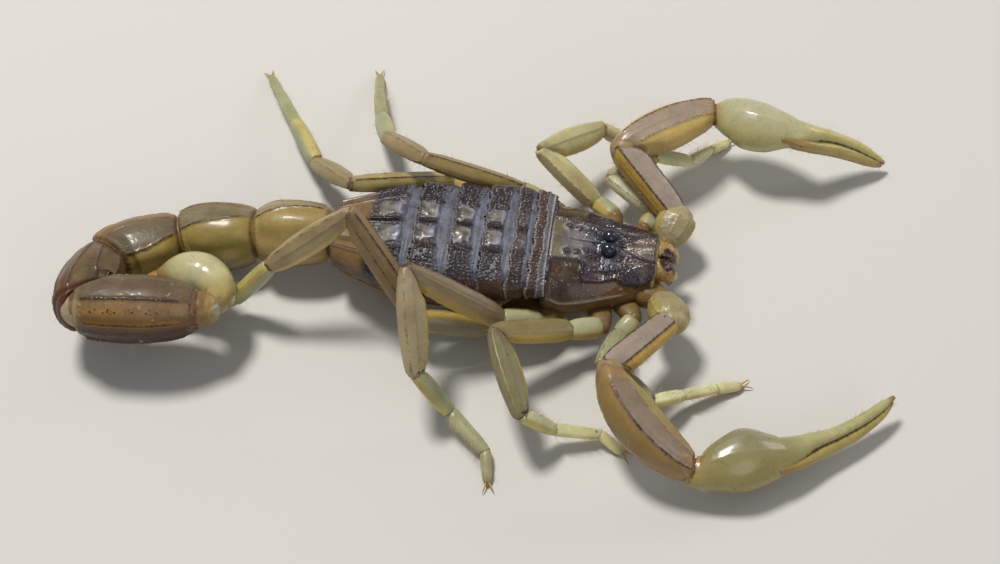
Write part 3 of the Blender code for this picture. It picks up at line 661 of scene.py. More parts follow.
def add_bristles(grid, info, count, length, seed, lean=0.55, where=None, thickness=0.011, colour=None, spread=0.35):
    """Notes bristle roots over a grid; they are made into one mesh at the end."""
    normal = grid_normals(grid, True)
    m, n = grid.shape[:2]
    tries = np.arange(count * 6)
    zero = np.zeros_like(tries)
    i = (hashed(tries, zero, zero, seed) * (m - 5)).astype(int) + 2
    j = (hashed(tries, zero, zero + 1, seed) * n).astype(int) % n
    keep = hashed(tries, zero, zero + 2, seed) < (where[i, j] if where is not None else 1.0)
    i, j = i[keep][:count], j[keep][:count]
    ahead = grid[np.minimum(i + 1, m - 1), j] - grid[np.maximum(i - 1, 0), j]
    ahead /= np.maximum(np.linalg.norm(ahead, axis=1, keepdims=True), 1e-9)
    r = [hashed(tries, zero, zero + 3 + k, seed)[keep][:count] for k in range(4)]
    side = np.cross(ahead, normal[i, j])
    direction = normal[i, j] + lean * ahead + spread * ((r[0] - 0.5)[:, None] * ahead + (r[1] - 0.5)[:, None] * side)
    direction /= np.linalg.norm(direction, axis=1, keepdims=True)
    BRISTLES.append(
        dict(
            root=grid[i, j] - 0.02 * normal[i, j],
            direction=direction,
            bend=ahead,
            length=length * (0.55 + 0.75 * r[2]),
            thickness=np.full(len(i), thickness) * (0.8 + 0.4 * r[3]),
            uv=np.stack([(i + 0.5) / m, (j + 0.5) / n], 1),
        )
    )


def claw(skin, start, direction, down, length, width, hook, colour, dark_tip=0.9, sides=10, steps=10):
    """A curved, tapering horn."""
    direction, down = unit(direction), unit(down)
    t = np.linspace(0, 1, steps + 1)
    line = start + direction * (length * t)[:, None] + down * (hook * length * t ** 2)[:, None]
    tangent = np.gradient(line, axis=0)
    tangent /= np.linalg.norm(tangent, axis=1, keepdims=True)
    side = unit(np.cross(direction, down))
    wide = np.repeat(side[None], steps + 1, 0)
    deep = np.cross(wide, tangent)
    size = width * (1 - t) ** 0.75 + 0.006
    angle = 2 * np.pi * np.arange(sides) / sides
    grid = line[:, None] + size[:, None, None] * (np.cos(angle)[None, :, None] * wide[:, None] + 1.15 * np.sin(angle)[None, :, None] * deep[:, None])
    tint = blend(np.broadcast_to(colour, grid.shape), np.array([0.05, 0.018, 0.008]), (dark_tip * smooth(0.35, 0.95, t))[:, None] * np.ones((1, sides)))
    skin.grid(grid, tint, 0.0)


def ball(skin, centre, radius, tint, squash=(1, 1, 1), dark=0.0, segments=16):
    """A rounded membrane that fills a joint."""
    lat = np.linspace(0.06, math.pi - 0.06, segments // 2 + 1)
    lon = 2 * np.pi * np.arange(segments) / segments
    grid = np.stack(
        [np.outer(np.sin(lat), np.cos(lon)), np.outer(np.sin(lat), np.sin(lon)), np.outer(np.cos(lat), np.ones(segments))], -1
    )
    skin.grid(np.asarray(centre) + grid * np.asarray(squash) * radius, np.asarray(tint, float), dark)


def build_leg(code):
    number = int(code[1])
    side = 1 if code[0] == "L" else -1
    hip = np.array(HIPS[number - 1]) * [1, side, 1]
    joints = chain(hip, LEG_REACH.get(code, LEG_LENGTHS[number - 1]), LEG_POSE[code])
    joints[6][2] = TOE_HEIGHT
    g = LEG_GIRTH[number - 1]
    axes = [unit(b - a) for a, b in zip(joints, joints[1:])]
    normal = plane_normal(axes[1], axes[2], UP)
    seed = number * 7 + (3 if side > 0 else 0)
    step = 0.075 / FINE
    front = number < 3

    def ventral_angle(axis, towards, deep):
        wide = np.cross(axis, unit(deep - axis * (deep @ axis)))
        return 0.0 if wide @ towards > 0 else 180.0

    # Trochanter, one closed piece.
    upper = Skin()
    rows = between(joints[0], joints[1], ((-0.02, 0.40, 0.38), (0.12, 0.60, 0.54), (0.42, 0.68, 0.58), (0.80, 0.66, 0.56), (1.0, 0.58, 0.50)), g)
    reach = 0.25
    grid, info = sweep(rows, normal, step, after=(axes[1], joints[1]), reach=(0.5, reach), gap=-0.10)
    ventral = ventral_angle(axes[0], axes[1], normal)
    keels = Keels(info)
    dorsal = ventral + 180
    keels.add(ventral, 0.035, 0.09, dark=0.5 if number > 2 else 0.25, bead_height=0.02, seed=seed)
    grid = raised(grid, keels.height)
    pale = np.array([0.385, 0.375, 0.205]) if number < 4 else np.array([0.280, 0.245, 0.140])
    tint = limb_colour(info, grid, pale, ventral, YELLOW * 0.8, seed=seed)
    # Painted shade: the hip end of the trochanter darkens towards the shaded coxa amber.
    tint = blend(tint, SHADED_COXA_AMBER, 0.5 * smooth(0.25, 0.0, info["t"]) * np.ones(grid.shape[:2]))
    upper.grid(grid, tint, keels.dark)
    add_bristles(grid, info, 14, 0.30, seed + 1)

    # Femur.
    rows = between(joints[1], joints[2], ((0.02, 0.50, 0.44), (0.10, 0.62, 0.50), (0.40, 0.74, 0.54), (0.72, 0.70, 0.52), (0.90, 0.61, 0.48), (1.0, 0.50, 0.42)), g)
    grid, info = sweep(rows, normal, step, before=(axes[0], joints[1]), after=(axes[2], joints[2]), reach=(0.2, 0.42), power=2.5, gap=0.0, round_ends=(0.5, 0.42))
    ventral = ventral_angle(axes[1], axes[2], normal)
    dorsal = ventral + 180
    tilt = 1 if abs(turn(ventral, 0)) < 1 else -1
    keels = Keels(info)
    dark = (0.55, 0.50, 0.85, 0.95)[number - 1]
    keels.add(dorsal + 34 * -tilt, 0.045, 0.075, dark=dark, seed=seed, beads=0.15)
    keels.add(dorsal - 34 * -tilt, 0.04, 0.07, dark=dark * 0.7, seed=seed + 2, beads=0.15)
    keels.add(90, 0.018, 0.07, dark=0.75 if number == 4 else 0.12, seed=seed + 3, bead_height=0.012, start=0.08, end=0.92, patchy=0.5)
    keels.add(ventral, 0.05, 0.085, dark=0.12, seed=seed + 4, beads=0.13, bead_height=0.025)
    keels.add(270, 0.02, 0.07, dark=0.4, seed=seed + 5, start=0.1, end=0.9)
    grid = raised(grid, keels.height)
    knee = 0.50 * smooth(0.88, 1.0, info["t"])
    tint = limb_colour(info, grid, FEMUR_FACE[code[0]][number - 1], ventral, YELLOW * (0.8 if number != 4 else 0.62), 0.5 if number > 2 else 0.15, knee, seed)
    upper.grid(grid, tint, np.maximum(keels.dark, 0.5 * bell((1 - info["t"]) * info["length"], 0.09) * (noise(grid, 0.3, seed) > 0.1)))
    add_bristles(grid, info, 46, 0.34, seed + 2)
    upper.build(f"leg_{code}_femur_skin", LIMB, (f"leg_{code}_femur",))

    # Patella.
    middle = Skin()
    rows = between(joints[2], joints[3], ((0.0, 0.46, 0.38), (0.08, 0.56, 0.44), (0.30, 0.80, 0.52), (0.55, 0.84, 0.53), (0.80, 0.72, 0.48), (0.94, 0.57, 0.42), (1.0, 0.44, 0.36)), g * (0.88 if number == 4 else 1.0))
    grid, info = sweep(rows, normal, step, before=(axes[1], joints[2]), after=(axes[3], joints[3]), reach=(0.42, 0.35), power=2.5, gap=0.0, round_ends=(0.42, 0.45))
    ventral = ventral_angle(axes[2], -axes[1], normal)
    dorsal = ventral + 180
    tilt = 1 if abs(turn(ventral, 0)) < 1 else -1
    keels = Keels(info)
    keels.add(dorsal + 30 * -tilt, 0.045, 0.075, dark=0.35 if front else 0.6, seed=seed + 6, patchy=0.6)
    keels.add(dorsal - 30 * -tilt, 0.035, 0.07, dark=0.3, seed=seed + 7)
    keels.add(90 + 18 * tilt, 0.030, 0.08, dark=0.10 if front else 0.25, seed=seed + 8, bead_height=0.008, start=0.08, end=0.9, patchy=0.6)
    keels.add(ventral, 0.045, 0.08, dark=0.1, seed=seed + 9, beads=0.13)
    grid = raised(grid, keels.height)
    flush = (0.75 if front else 0.35) * smooth(0.20, 0.0, info["t"]) * np.ones(grid.shape[:2])
    tint = limb_colour(info, grid, PATELLA_FACE[code[0]][number - 1], ventral, YELLOW * np.array([0.92, 1.0, 1.3]), 0.25 if front else 0.6, flush, seed + 3)
    tip = bell((1 - info["t"]) * info["length"] - 0.12, 0.11) * bell(turn(info["angle"], 90) / 60.0, 1.0)
    middle.grid(grid, tint, np.maximum(keels.dark, 0.85 * tip * (0.6 + 0.4 * (noise(grid, 0.2, seed) > 0))))
    add_bristles(grid, info, 44, 0.32, seed + 4)
    middle.build(f"leg_{code}_patella_skin", LIMB, (f"leg_{code}_patella",))

    # Tibia, basitarsus, tarsus and claws.
    foot = Skin()
    shin_normal = plane_normal(axes[2], axes[3], UP)
    if abs(shin_normal @ unit(joints[6] - joints[4])) > 0.8:
        shin_normal = normal
    rows = between(joints[3], joints[4], ((0.0, 0.38, 0.34), (0.10, 0.45, 0.39), (0.45, 0.50, 0.42), (0.85, 0.45, 0.40), (1.0, 0.38, 0.35)), g * (1.16 if number == 4 else 1.0))
    grid, info = sweep(rows, shin_normal, step, before=(axes[2], joints[3]), after=(axes[4], joints[4]), reach=(0.35, 0.3), gap=0.0, power=2.3)
    ventral = ventral_angle(axes[3], axes[4], shin_normal)
    keels = Keels(info).add(ventral + 180, 0.03, 0.07, dark=0.15, seed=seed + 11).add(ventral, 0.02, 0.07, dark=0.1, seed=seed + 12)
    grid = raised(grid, keels.height)
    pale = np.array([0.620, 0.610, 0.350]) if front else np.array([0.350, 0.355, 0.205])
    tint = limb_colour(info, grid, pale, ventral, YELLOW * np.array([0.9, 1.05, 1.5]), 0.0, 0.0, seed + 5)
    foot.grid(grid, tint, np.maximum(keels.dark, 0.6 * bell(info["s"] - 0.05, 0.09) * (noise(grid, 0.25, seed + 1) > 0.15)))
    add_bristles(grid, info, 40, 0.34, seed + 5, lean=0.7)
    if number > 2:
        claw(foot, joints[4] - UP * 0.25 * g - axes[3] * 0.1, axes[3] - 0.6 * UP, axes[4], 0.55, 0.07, 0.2, YELLOW * 0.8)

    rows = between(joints[4], joints[5], ((0.0, 0.34, 0.31), (0.10, 0.40, 0.36), (0.5, 0.39, 0.34), (0.88, 0.34, 0.31), (1.0, 0.29, 0.27)), g)
    grid, info = sweep(rows, UP, step, before=(axes[3], joints[4]), after=(axes[5], joints[5]), reach=(0.3, 0.25), gap=0.0, power=2.2)
    tint = limb_colour(info, grid, pale * np.array([1.0, 0.97, 0.90]), 270.0, pale * np.array([1.0, 0.93, 0.72]), 0.0, 0.0, seed + 6)
    foot.grid(grid, tint, 0.35 * bell(info["s"] - 0.02, 0.08) * np.ones(grid.shape[:2]))
    add_bristles(grid, info, 34, 0.34, seed + 6, lean=0.8)
    if number < 4:
        # Comb of stout bristles along the outer side of the basitarsus.
        comb_rows = 2
        m = grid.shape[0]
        for row in range(comb_rows):
            place = np.linspace(int(m * 0.18), int(m * 0.86), 13).astype(int)
            outward = np.cross(axes[4], UP) @ np.array([0, side, 0]) > 0
            target = (0 if row else 25) if outward else (180 if row else 155)
            outer = np.argmin(np.abs(turn(info["angle"][0], target)))
            normal_here = grid_normals(grid, True)[place, outer]
            BRISTLES.append(
                dict(
                    root=grid[place, outer] - 0.02 * normal_here,
                    direction=normal_here + 0.75 * axes[4],
                    bend=np.repeat(axes[4][None], len(place), 0),
                    length=np.linspace(0.46, 0.62, len(place)) * g,
                    thickness=np.full(len(place), 0.016),
                    uv=np.stack([(place + 0.5) / m, np.full(len(place), 0.3 + 0.3 * row)], 1),
                )
            )

    rows = between(joints[5], joints[6], ((0.0, 0.27, 0.25), (0.15, 0.31, 0.28), (0.55, 0.30, 0.27), (0.88, 0.26, 0.24), (1.0, 0.20, 0.18)), 1.0)
    grid, info = sweep(rows, UP, step, before=(axes[4], joints[5]), reach=(0.25, 0.25), gap=0.0, power=2.2)
    grid[..., 2] = np.maximum(grid[..., 2], 0.012)
    tint = limb_colour(info, grid, pale * np.array([0.98, 0.92, 0.82]), 270.0, pale * np.array([1.0, 0.90, 0.66]), 0.0, 0.0, seed + 7)
    tint = blend(tint, BROWN * 1.6, 0.5 * smooth(0.8, 1.0, info["t"]) * np.ones(grid.shape[:2]))
    foot.grid(grid, tint, 0.3 * bell(info["s"] - 0.02, 0.07) * np.ones(grid.shape[:2]))
    under = (turn(info["angle"], 270) ** 2 < 60 ** 2) * np.ones(grid.shape[:2])
    add_bristles(grid, info, 36, 0.26, seed + 8, lean=0.9, where=0.35 + 0.65 * under)
    flat = unit(axes[5] * [1, 1, 0])
    sideways = np.cross(flat, UP)
    tip = joints[6] + axes[5] * 0.06
    for turned in (-1, 1):
        claw(foot, tip + sideways * 0.07 * turned + UP * 0.04, flat + 0.42 * turned * sideways + 0.16 * UP, -UP + 0.15 * flat, 0.62, 0.055, 0.42, AMBER * 0.9)
    claw(foot, tip - UP * 0.05, flat - 0.2 * UP, -UP, 0.24, 0.05, 0.3, AMBER * 0.7, steps=6)
    foot.build(f"leg_{code}_foot_skin", LIMB, (f"leg_{code}_foot",))

    # Soft skin that bridges the joints.
    soft = Skin()
    for k, radius in ((0, 0.50), (1, 0.50), (2, 0.40), (3, 0.36), (4, 0.31), (5, 0.23)):
        shade = BROWN * 1.3 if k in (2, 3) else GREEN * 0.8 if k > 3 else np.array([0.190, 0.115, 0.040])
        ball(soft, joints[k], radius * (g if k < 5 else 1.0), shade)
    soft.build(f"leg_{code}_joint_skin", MEMBRANE)


for leg_code in LEG_POSE:
    build_leg(leg_code)

# ---------------------------------------------------------------- pincer arms

ARM_ROOT = (0.35, 1.95, 2.50)
ARM_LENGTHS = {"right": (2.2, 5.4, 6.5, 5.4, 6.6), "left": (1.68, 5.14, 6.5, 5.4, 6.2)}
ARM_POSE = {
    "right": ((-66, 22), (-124, 13), (-41, -20), (19, -4), (37, -2)),
    "left": ((68, 15.5), (136, 20.8), (39, -8), (-16, 4), (13, -34)),
}
ARM_BOW = {"right": 0.85, "left": 0.15}
# Angles round the section of the two dark keels beside the back of the femur.
FEMUR_KEELS = {"right": (27, 108), "left": (42, 132)}
# Angle (and its swing) round the section, darkness and height of the patella's keels, and the limits of its back.
PATELLA_KEELS = {
    "right": (((44, 6), 0.9, 0.07), ((104, 4), 0.35, 0.045), ((140, 0), 0.15, 0.03), ((182, 0), 0.30, 0.035), ((228, 0), 0.5, 0.05), ((318, 0), 0.5, 0.05)),
    "left": (((72, 4), 0.50, 0.05), ((138, -2), 0.9, 0.06), ((104, 0), 0.10, 0.02), ((182, 0), 0.30, 0.035), ((228, 0), 0.5, 0.05), ((318, 0), 0.5, 0.05)),
}
PATELLA_FACES = {"right": (46, 108), "left": (72, 138)}


def bowed(start, end, profile, bulge):
    return [(start + (end - start) * s + bulge * (4 * s * (1 - s)), a, b) for s, a, b in profile]


def arm_faces(info, grid, low, high, top, flank, seed, under=None):
    """Dorsal face in one colour between two keels, and the flanks in another."""
    inside = smooth(low - 6, low + 6, info["angle"]) * (1 - smooth(high - 6, high + 6, info["angle"])) * np.ones(grid.shape[:2])
    tint = blend(np.broadcast_to(flank, grid.shape), np.broadcast_to(top, grid.shape), inside)
    if under is not None:
        tint = blend(tint, np.broadcast_to(under, grid.shape), smooth(0.25, 0.8, -np.sin(np.radians(info["angle"]))) * np.ones(grid.shape[:2]))
    cloud = noise(grid, 1.0, seed)
    return tint * (1 + 0.12 * cloud[..., None] * np.array([1.0, 1.05, 1.2]))


def build_arm(name):
    side = 1 if name == "left" else -1
    root = np.array(ARM_ROOT) * [1, side, 1]
    lengths = ARM_LENGTHS[name]
    joints = chain(root, lengths, ARM_POSE[name])
    axes = [unit(b - a) for a, b in zip(joints, joints[1:])]
    normal = plane_normal(axes[1], axes[2], UP)
    seed = 40 if side > 0 else 60
    step = 0.08 / FINE

    # Trochanter.
    skin = Skin()
    onward = unit(joints[1] - joints[0])
    knob_end = joints[1] + onward * 0.38
    rows = between(joints[0], knob_end, ((0.02, 0.60, 0.56), (0.20, 0.86, 0.80), (0.45, 1.06, 0.94), (0.72, 1.12, 0.96), (0.90, 0.96, 0.84), (1.0, 0.74, 0.66)))
    grid, info = sweep(rows, normal, step * 0.7, power=2.1, round_ends=(0.5, 0.6))
    keels = Keels(info)
    for k, (angle, dark) in enumerate(((20, 0.0), (62, 0.0), (98, 0.50), (140, 0.0), (215, 0.0), (325, 0.0))):
        keels.add(angle, 0.022, 0.07, dark=dark, beads=0.20, bead_height=0.045, seed=seed + k, start=0.16, end=0.92, patchy=0.6)
    arc = np.radians(turn(info["angle"], 90)) * info["radius"]
    bumps = granules(info["s"] + 0 * info["angle"], arc, 0.24, seed, 0.55)
    patch = bell(np.hypot((info["s"] - 0.9) / 0.6, (arc - side * 0.35) / 0.5), 1.0)
    pits = granules(info["s"] + 0 * info["angle"], arc, 0.20, seed + 9, 0.7) * patch
    grid = raised(grid, keels.height + 0.022 * bumps - 0.03 * patch + 0.02 * pits + 0.03 * noise(grid, 0.55, seed + 8))
    tint = arm_faces(info, grid, 40, 140, np.array([0.325, 0.268, 0.135]), np.array([0.345, 0.270, 0.085]), seed)
    tint = blend(tint, np.array([0.270, 0.215, 0.135]), 0.7 * patch * np.ones(grid.shape[:2]))
    tint = blend(tint, np.array([0.120, 0.080, 0.040]), 0.55 * smooth(0.3, 0.9, pits) * (noise(grid, 0.3, seed + 6) > 0.0))
    skin.grid(grid, tint, keels.dark * (0.7 + 0.3 * noise(grid, 0.4, seed)))
    add_bristles(grid, info, 30, 0.36, seed + 1)
    skin.build(f"pedipalp_{name}_trochanter_skin", LIMB, (f"pedipalp_{name}_trochanter",))

    # Femur.
    skin = Skin()
    rows = between(joints[1], joints[2], ((0.06, 0.60, 0.60), (0.15, 0.68, 0.68), (0.50, 0.76, 0.73), (0.84, 0.79, 0.75), (1.0, 0.66, 0.62)))
    grid, info = sweep(rows, normal, step * 0.85, after=(axes[2], joints[2]), reach=(0.25, 0.30), power=3.4, gap=0.0, round_ends=(0.4, 0.35))
    keels = Keels(info)
    low, high = FEMUR_KEELS[name]
    for angle, dark, height in ((low, 0.95, 0.07), (high, 0.95, 0.07), (222, 0.55, 0.05), (318, 0.55, 0.05), (high + 42, 0.25, 0.03), (low - 42, 0.3, 0.04)):
        keels.add(angle, height * 0.8, 0.072, dark=dark, beads=0.15, bead_height=0.045, seed=seed + angle, patchy=0.15)
    fine = granules(info["s"] + 0 * info["angle"], np.radians(info["angle"]) * info["radius"], 0.17, seed + 2, 0.55)
    grid = raised(grid, keels.height + 0.016 * fine)
    tint = arm_faces(info, grid, low, high, np.array([0.300, 0.235, 0.185]), np.array([0.430, 0.275, 0.062]), seed + 1, AMBER * 0.75)
    rim = bell((1 - info["t"]) * info["length"] - 0.1, 0.12) * np.ones(grid.shape[:2])
    skin.grid(grid, tint, np.maximum(keels.dark, 0.6 * rim))
    add_bristles(grid, info, 60, 0.42, seed + 3)
    skin.build(f"pedipalp_{name}_femur_skin", LIMB, (f"pedipalp_{name}_femur",))

    # Patella.
    skin = Skin()
    profile = ((0.0, 0.66, 0.64), (0.07, 0.84, 0.82), (0.25, 1.15, 1.04), (0.50, 1.25, 1.09), (0.76, 1.08, 0.99), (0.93, 0.84, 0.81), (1.0, 0.66, 0.62))
    bend = unit(np.cross(joints[3] - joints[2], normal))
    if bend @ np.array([0, side, 0]) < 0:
        bend = -bend
    if bend[0] > 0:
        bend = -bend
    rows = bowed(joints[2], joints[3], profile, bend * ARM_BOW[name])
    grid, info = sweep(rows, normal, step, before=(axes[1], joints[2]), after=(axes[3], joints[3]), reach=(0.30, 0.35), power=2.9, gap=0.0, round_ends=(0.4, 0.4))
    keels = Keels(info)
    arc = lambda centre, swing: (lambda t: centre + swing * np.sin(np.pi * t))
    knee_end = 0.13 if side < 0 else 0.05
    for angle, dark, height in PATELLA_KEELS[name]:
        keels.add(arc(*angle), height, 0.080, dark=dark, beads=0.22, bead_height=0.030, seed=seed + int(height * 1000), patchy=0.35, start=knee_end if dark > 0.3 else 0.0)
    face = PATELLA_FACES[name]
    fine = granules(info["s"] + 0 * info["angle"], np.radians(info["angle"]) * info["radius"], 0.20, seed + 5, 0.4)
    hollow = bell(turn(info["angle"], (face[0] + face[1]) / 2) / 18, 1.0)
    grid = raised(grid, keels.height + 0.012 * fine - 0.05 * hollow * smooth(0.05, 0.25, info["t"]) * smooth(0.98, 0.8, info["t"]))
    # The far (left) arm is painted lighter and the near (right) arm darker: painted light and shade on one colour.
    if side < 0:
        back_tone, flank_tone = np.array([0.225, 0.165, 0.110]), np.array([0.265, 0.165, 0.052])
    else:
        back_tone, flank_tone = np.array([0.330, 0.250, 0.180]), np.array([0.500, 0.350, 0.110])
    tint = arm_faces(info, grid, face[0], face[1], back_tone, flank_tone, seed + 4, AMBER * 0.6)
    amber_knee = (1 - smooth(knee_end * info["length"] - 0.10, knee_end * info["length"] + 0.15, info["s"])) * np.ones(grid.shape[:2])
    tint = blend(tint, np.array([0.300, 0.185, 0.075]), 0.85 * amber_knee)
    inner = smooth(face[1] - 4, face[1] + 8, info["angle"]) * (1 - smooth(190, 215, info["angle"])) if side < 0 else np.zeros_like(info["angle"])
    tint = blend(tint, np.array([0.300, 0.235, 0.075]), 0.85 * inner * (1 - smooth(0.45, 0.75, info["t"])))
    tint = blend(tint, np.array([0.330, 0.185, 0.065]), 0.6 * smooth(0.80, 1.0, info["t"]) * np.ones(grid.shape[:2]))
    rim = (bell((1 - info["t"]) * info["length"] - 0.1, 0.10) + 0.7 * bell(info["s"] - 0.12, 0.10)) * np.ones(grid.shape[:2])
    skin.grid(grid, tint, np.maximum(keels.dark, 0.5 * rim))
    add_bristles(grid, info, 70, 0.44, seed + 6)
    skin.build(f"pedipalp_{name}_patella_skin", LIMB, (f"pedipalp_{name}_patella",))

    # Palm with the fixed finger, and the movable finger below it.
    hand = hand_shape(name, joints[3], joints[4], joints[5])
    skin = Skin()
    rows = [hand(u, "plate") for u in (0.005, 0.05, 0.12, 0.20, 0.28, 0.38, 0.50, 0.62, 0.72, 0.82, 0.90, 0.96, 1.02, 1.09, 1.16, 1.25, 1.38, 1.52, 1.66, 1.78, 1.88, 1.95, 2.0)]
    grid, info = sweep(rows, HAND_UP, step * 0.85, before=(axes[2], joints[3]), reach=(0.30, 0.3), power=2.1, gap=0.0, round_ends=(0.4, 0.9))
    share = info["s"] / info["length"]
    palm_end = lengths[3] / (lengths[3] + lengths[4])
    keels = Keels(info)
    for angle, height in ((62, 0.022), (118, 0.022), (28, 0.016), (200, 0.014), (250, 0.016), (300, 0.016)):
        keels.add(angle, height, 0.10, dark=0.0, beads=5, bead_height=0.0, start=0.03, end=palm_end)
    keels.add(90, 0.022, 0.07, dark=0.0, beads=5, bead_height=0.0, start=palm_end, end=0.97)
    grid = raised(grid, keels.height + 0.012 * noise(grid, 0.9, seed))
    shape = grid.shape[:2]
    on_finger = smooth(palm_end * 0.86, palm_end * 1.25, share) * np.ones(shape)
    upward = np.sin(np.radians(info["angle"])) * np.ones(shape)
    # The far (left) palm is painted lighter and the near (right) palm darker: painted light and shade on one colour.
    tint = np.broadcast_to(np.array([0.285, 0.240, 0.090]) if side < 0 else np.array([0.440, 0.405, 0.225]), grid.shape)
    # Paler grey on the upper side of the palm near its base: a painted highlight.
    tint = blend(tint, np.array([0.250, 0.225, 0.140]) if side < 0 else np.array([0.400, 0.380, 0.240]), 0.75 * smooth(0.0, 0.8, upward) * bell((share - 0.24) / 0.16, 1.0))
    tint = blend(tint, np.array([0.430, 0.400, 0.190]) if side < 0 else np.array([0.520, 0.440, 0.150]), 0.9 * on_finger)
    tint = blend(tint, np.array([0.40, 0.22, 0.06]), 0.7 * smooth(0.06, 0.0, share) * np.ones(shape))
    tint = blend(tint, np.array([0.33, 0.260, 0.075]) if side < 0 else np.array([0.46, 0.40, 0.150]), 0.75 * smooth(0.15, -0.7, upward))
    tint = blend(tint, np.array([0.22, 0.11, 0.04]), 0.75 * smooth(0.955, 1.0, share) * np.ones(shape))
    tint = blend(tint, np.array([0.30, 0.16, 0.045]), 0.55 * bell((share - palm_end * 1.02) / 0.02, 1.0) * smooth(-0.4, -0.9, upward))
    tint = tint * (1 + 0.09 * noise(grid, 1.3, seed + 8)[..., None] * np.array([1.0, 1.0, 1.3]))
    skin.grid(grid, tint, 0.4 * bell(info["s"] - 0.08, 0.09) * np.ones(shape))
    add_bristles(grid, info, 80, 0.34, seed + 9, where=0.25 + 0.75 * on_finger)
    teeth(skin, hand, 1.12, 1.97, 0.012)
    skin.build(f"pedipalp_{name}_palm_skin", PALM, (f"pedipalp_{name}_palm",))

    skin = Skin()
    rows = [hand(u, "finger") for u in (0.84, 0.88, 0.93, 0.99, 1.06, 1.14, 1.25, 1.38, 1.52, 1.66, 1.78, 1.87, 1.93, 1.965)]
    grid, info = sweep(rows, HAND_UP, step * 0.85, power=2.15, round_ends=(0.45, 0.9))
    keels = Keels(info)
    keels.add(200, 0.02, 0.08, dark=0.0, beads=5, bead_height=0.0)
    keels.add(270, 0.02, 0.08, dark=0.0, beads=5, bead_height=0.0)
    grid = raised(grid, keels.height)
    tint = np.broadcast_to(np.array([0.365, 0.290, 0.085]), grid.shape)
    tint = blend(tint, np.array([0.270, 0.150, 0.042]), 0.80 * smooth(0.34, 0.05, info["t"]) * np.ones(grid.shape[:2]))
    tint = blend(tint, np.array([0.34, 0.22, 0.06]), 0.6 * smooth(-0.2, -0.9, np.sin(np.radians(info["angle"]))) * np.ones(grid.shape[:2]))
    tint = blend(tint, np.array([0.20, 0.09, 0.03]), 0.75 * smooth(0.93, 1.0, info["t"]) * np.ones(grid.shape[:2]))
    skin.grid(grid, tint * (1 + 0.10 * noise(grid, 0.8, seed + 10)[..., None]), 0.0)
    add_bristles(grid, info, 60, 0.34, seed + 11)
    skin.build(f"pedipalp_{name}_finger_skin", PALM, (f"pedipalp_{name}_finger",))

    soft = Skin()
    for k, radius, shade in ((0, 0.66, SHADED_COXA_AMBER * 1.4), (1, 0.58, np.array([0.24, 0.19, 0.075])), (2, 0.76, np.array([0.30, 0.20, 0.10])), (3, 0.46, AMBER * 0.6)):
        ball(soft, joints[k], radius, shade, segments=24)
    centre, wide, tall = hand(0.96, "finger")
    ball(soft, centre + np.array([0.0, 0.10, 0.08]), 0.5, RUST * 1.6, segments=20)
    soft.build(f"pedipalp_{name}_joint_skin", MEMBRANE)


# The hand in its own plane: 0 to 1 along the palm and 1 to 2 along the fingers, in millimetres from the joints' line.
HAND_UP = unit(np.array([0.0, 0.81, 0.59]))
HANDS = {
    "right": dict(
        top=((0.0, 0.60), (0.06, 0.70), (0.12, 0.86), (0.25, 1.20), (0.38, 1.46), (0.50, 1.56), (0.62, 1.42), (0.72, 1.20), (0.91, 0.80), (1.0, 0.68), (1.10, 0.52), (1.23, 0.27), (1.46, -0.02), (1.72, 0.0), (1.90, 0.10), (2.0, 0.10)),
        low=((0.0, -0.92), (0.05, -1.20), (0.12, -1.42), (0.25, -1.62), (0.38, -1.78), (0.50, -1.86), (0.62, -1.76), (0.72, -1.60), (0.91, -1.24), (1.0, -1.19), (1.23, -1.22), (1.46, -1.24), (1.72, -1.02), (1.90, -0.64), (1.965, -0.36), (2.0, -0.2)),
        seam=((0.85, -0.55), (1.0, -0.55), (1.23, -0.52), (1.46, -0.60), (1.72, -0.55), (1.90, -0.36), (2.0, -0.12)),
        half=((0.0, 0.55), (0.12, 0.88), (0.25, 1.16), (0.50, 1.36), (0.72, 1.16), (0.91, 0.82), (1.0, 0.68), (1.23, 0.48), (1.46, 0.42), (1.72, 0.33), (1.90, 0.22), (2.0, 0.10)),
    ),
    "left": dict(
        top=((0.0, 0.46), (0.08, 0.66), (0.22, 1.06), (0.40, 1.24), (0.60, 1.18), (0.79, 0.96), (0.92, 0.76), (1.0, 0.72), (1.12, 0.70), (1.33, 0.78), (1.60, 0.76), (1.85, 0.48), (1.95, 0.28), (2.0, 0.16)),
        low=((0.0, -0.72), (0.08, -1.02), (0.20, -1.34), (0.40, -1.66), (0.54, -1.68), (0.72, -1.36), (0.87, -1.04), (1.0, -0.98), (1.12, -0.92), (1.33, -0.72), (1.60, -0.56), (1.85, -0.46), (1.95, -0.34), (2.0, -0.24)),
        seam=((0.85, -0.30), (1.0, -0.28), (1.12, -0.22), (1.33, 0.04), (1.60, 0.12), (1.85, 0.02), (2.0, -0.05)),
        half=((0.0, 0.55), (0.10, 0.84), (0.25, 1.12), (0.45, 1.30), (0.72, 1.10), (0.91, 0.80), (1.0, 0.68), (1.23, 0.50), (1.46, 0.42), (1.72, 0.33), (1.90, 0.22), (2.0, 0.10)),
    ),
}


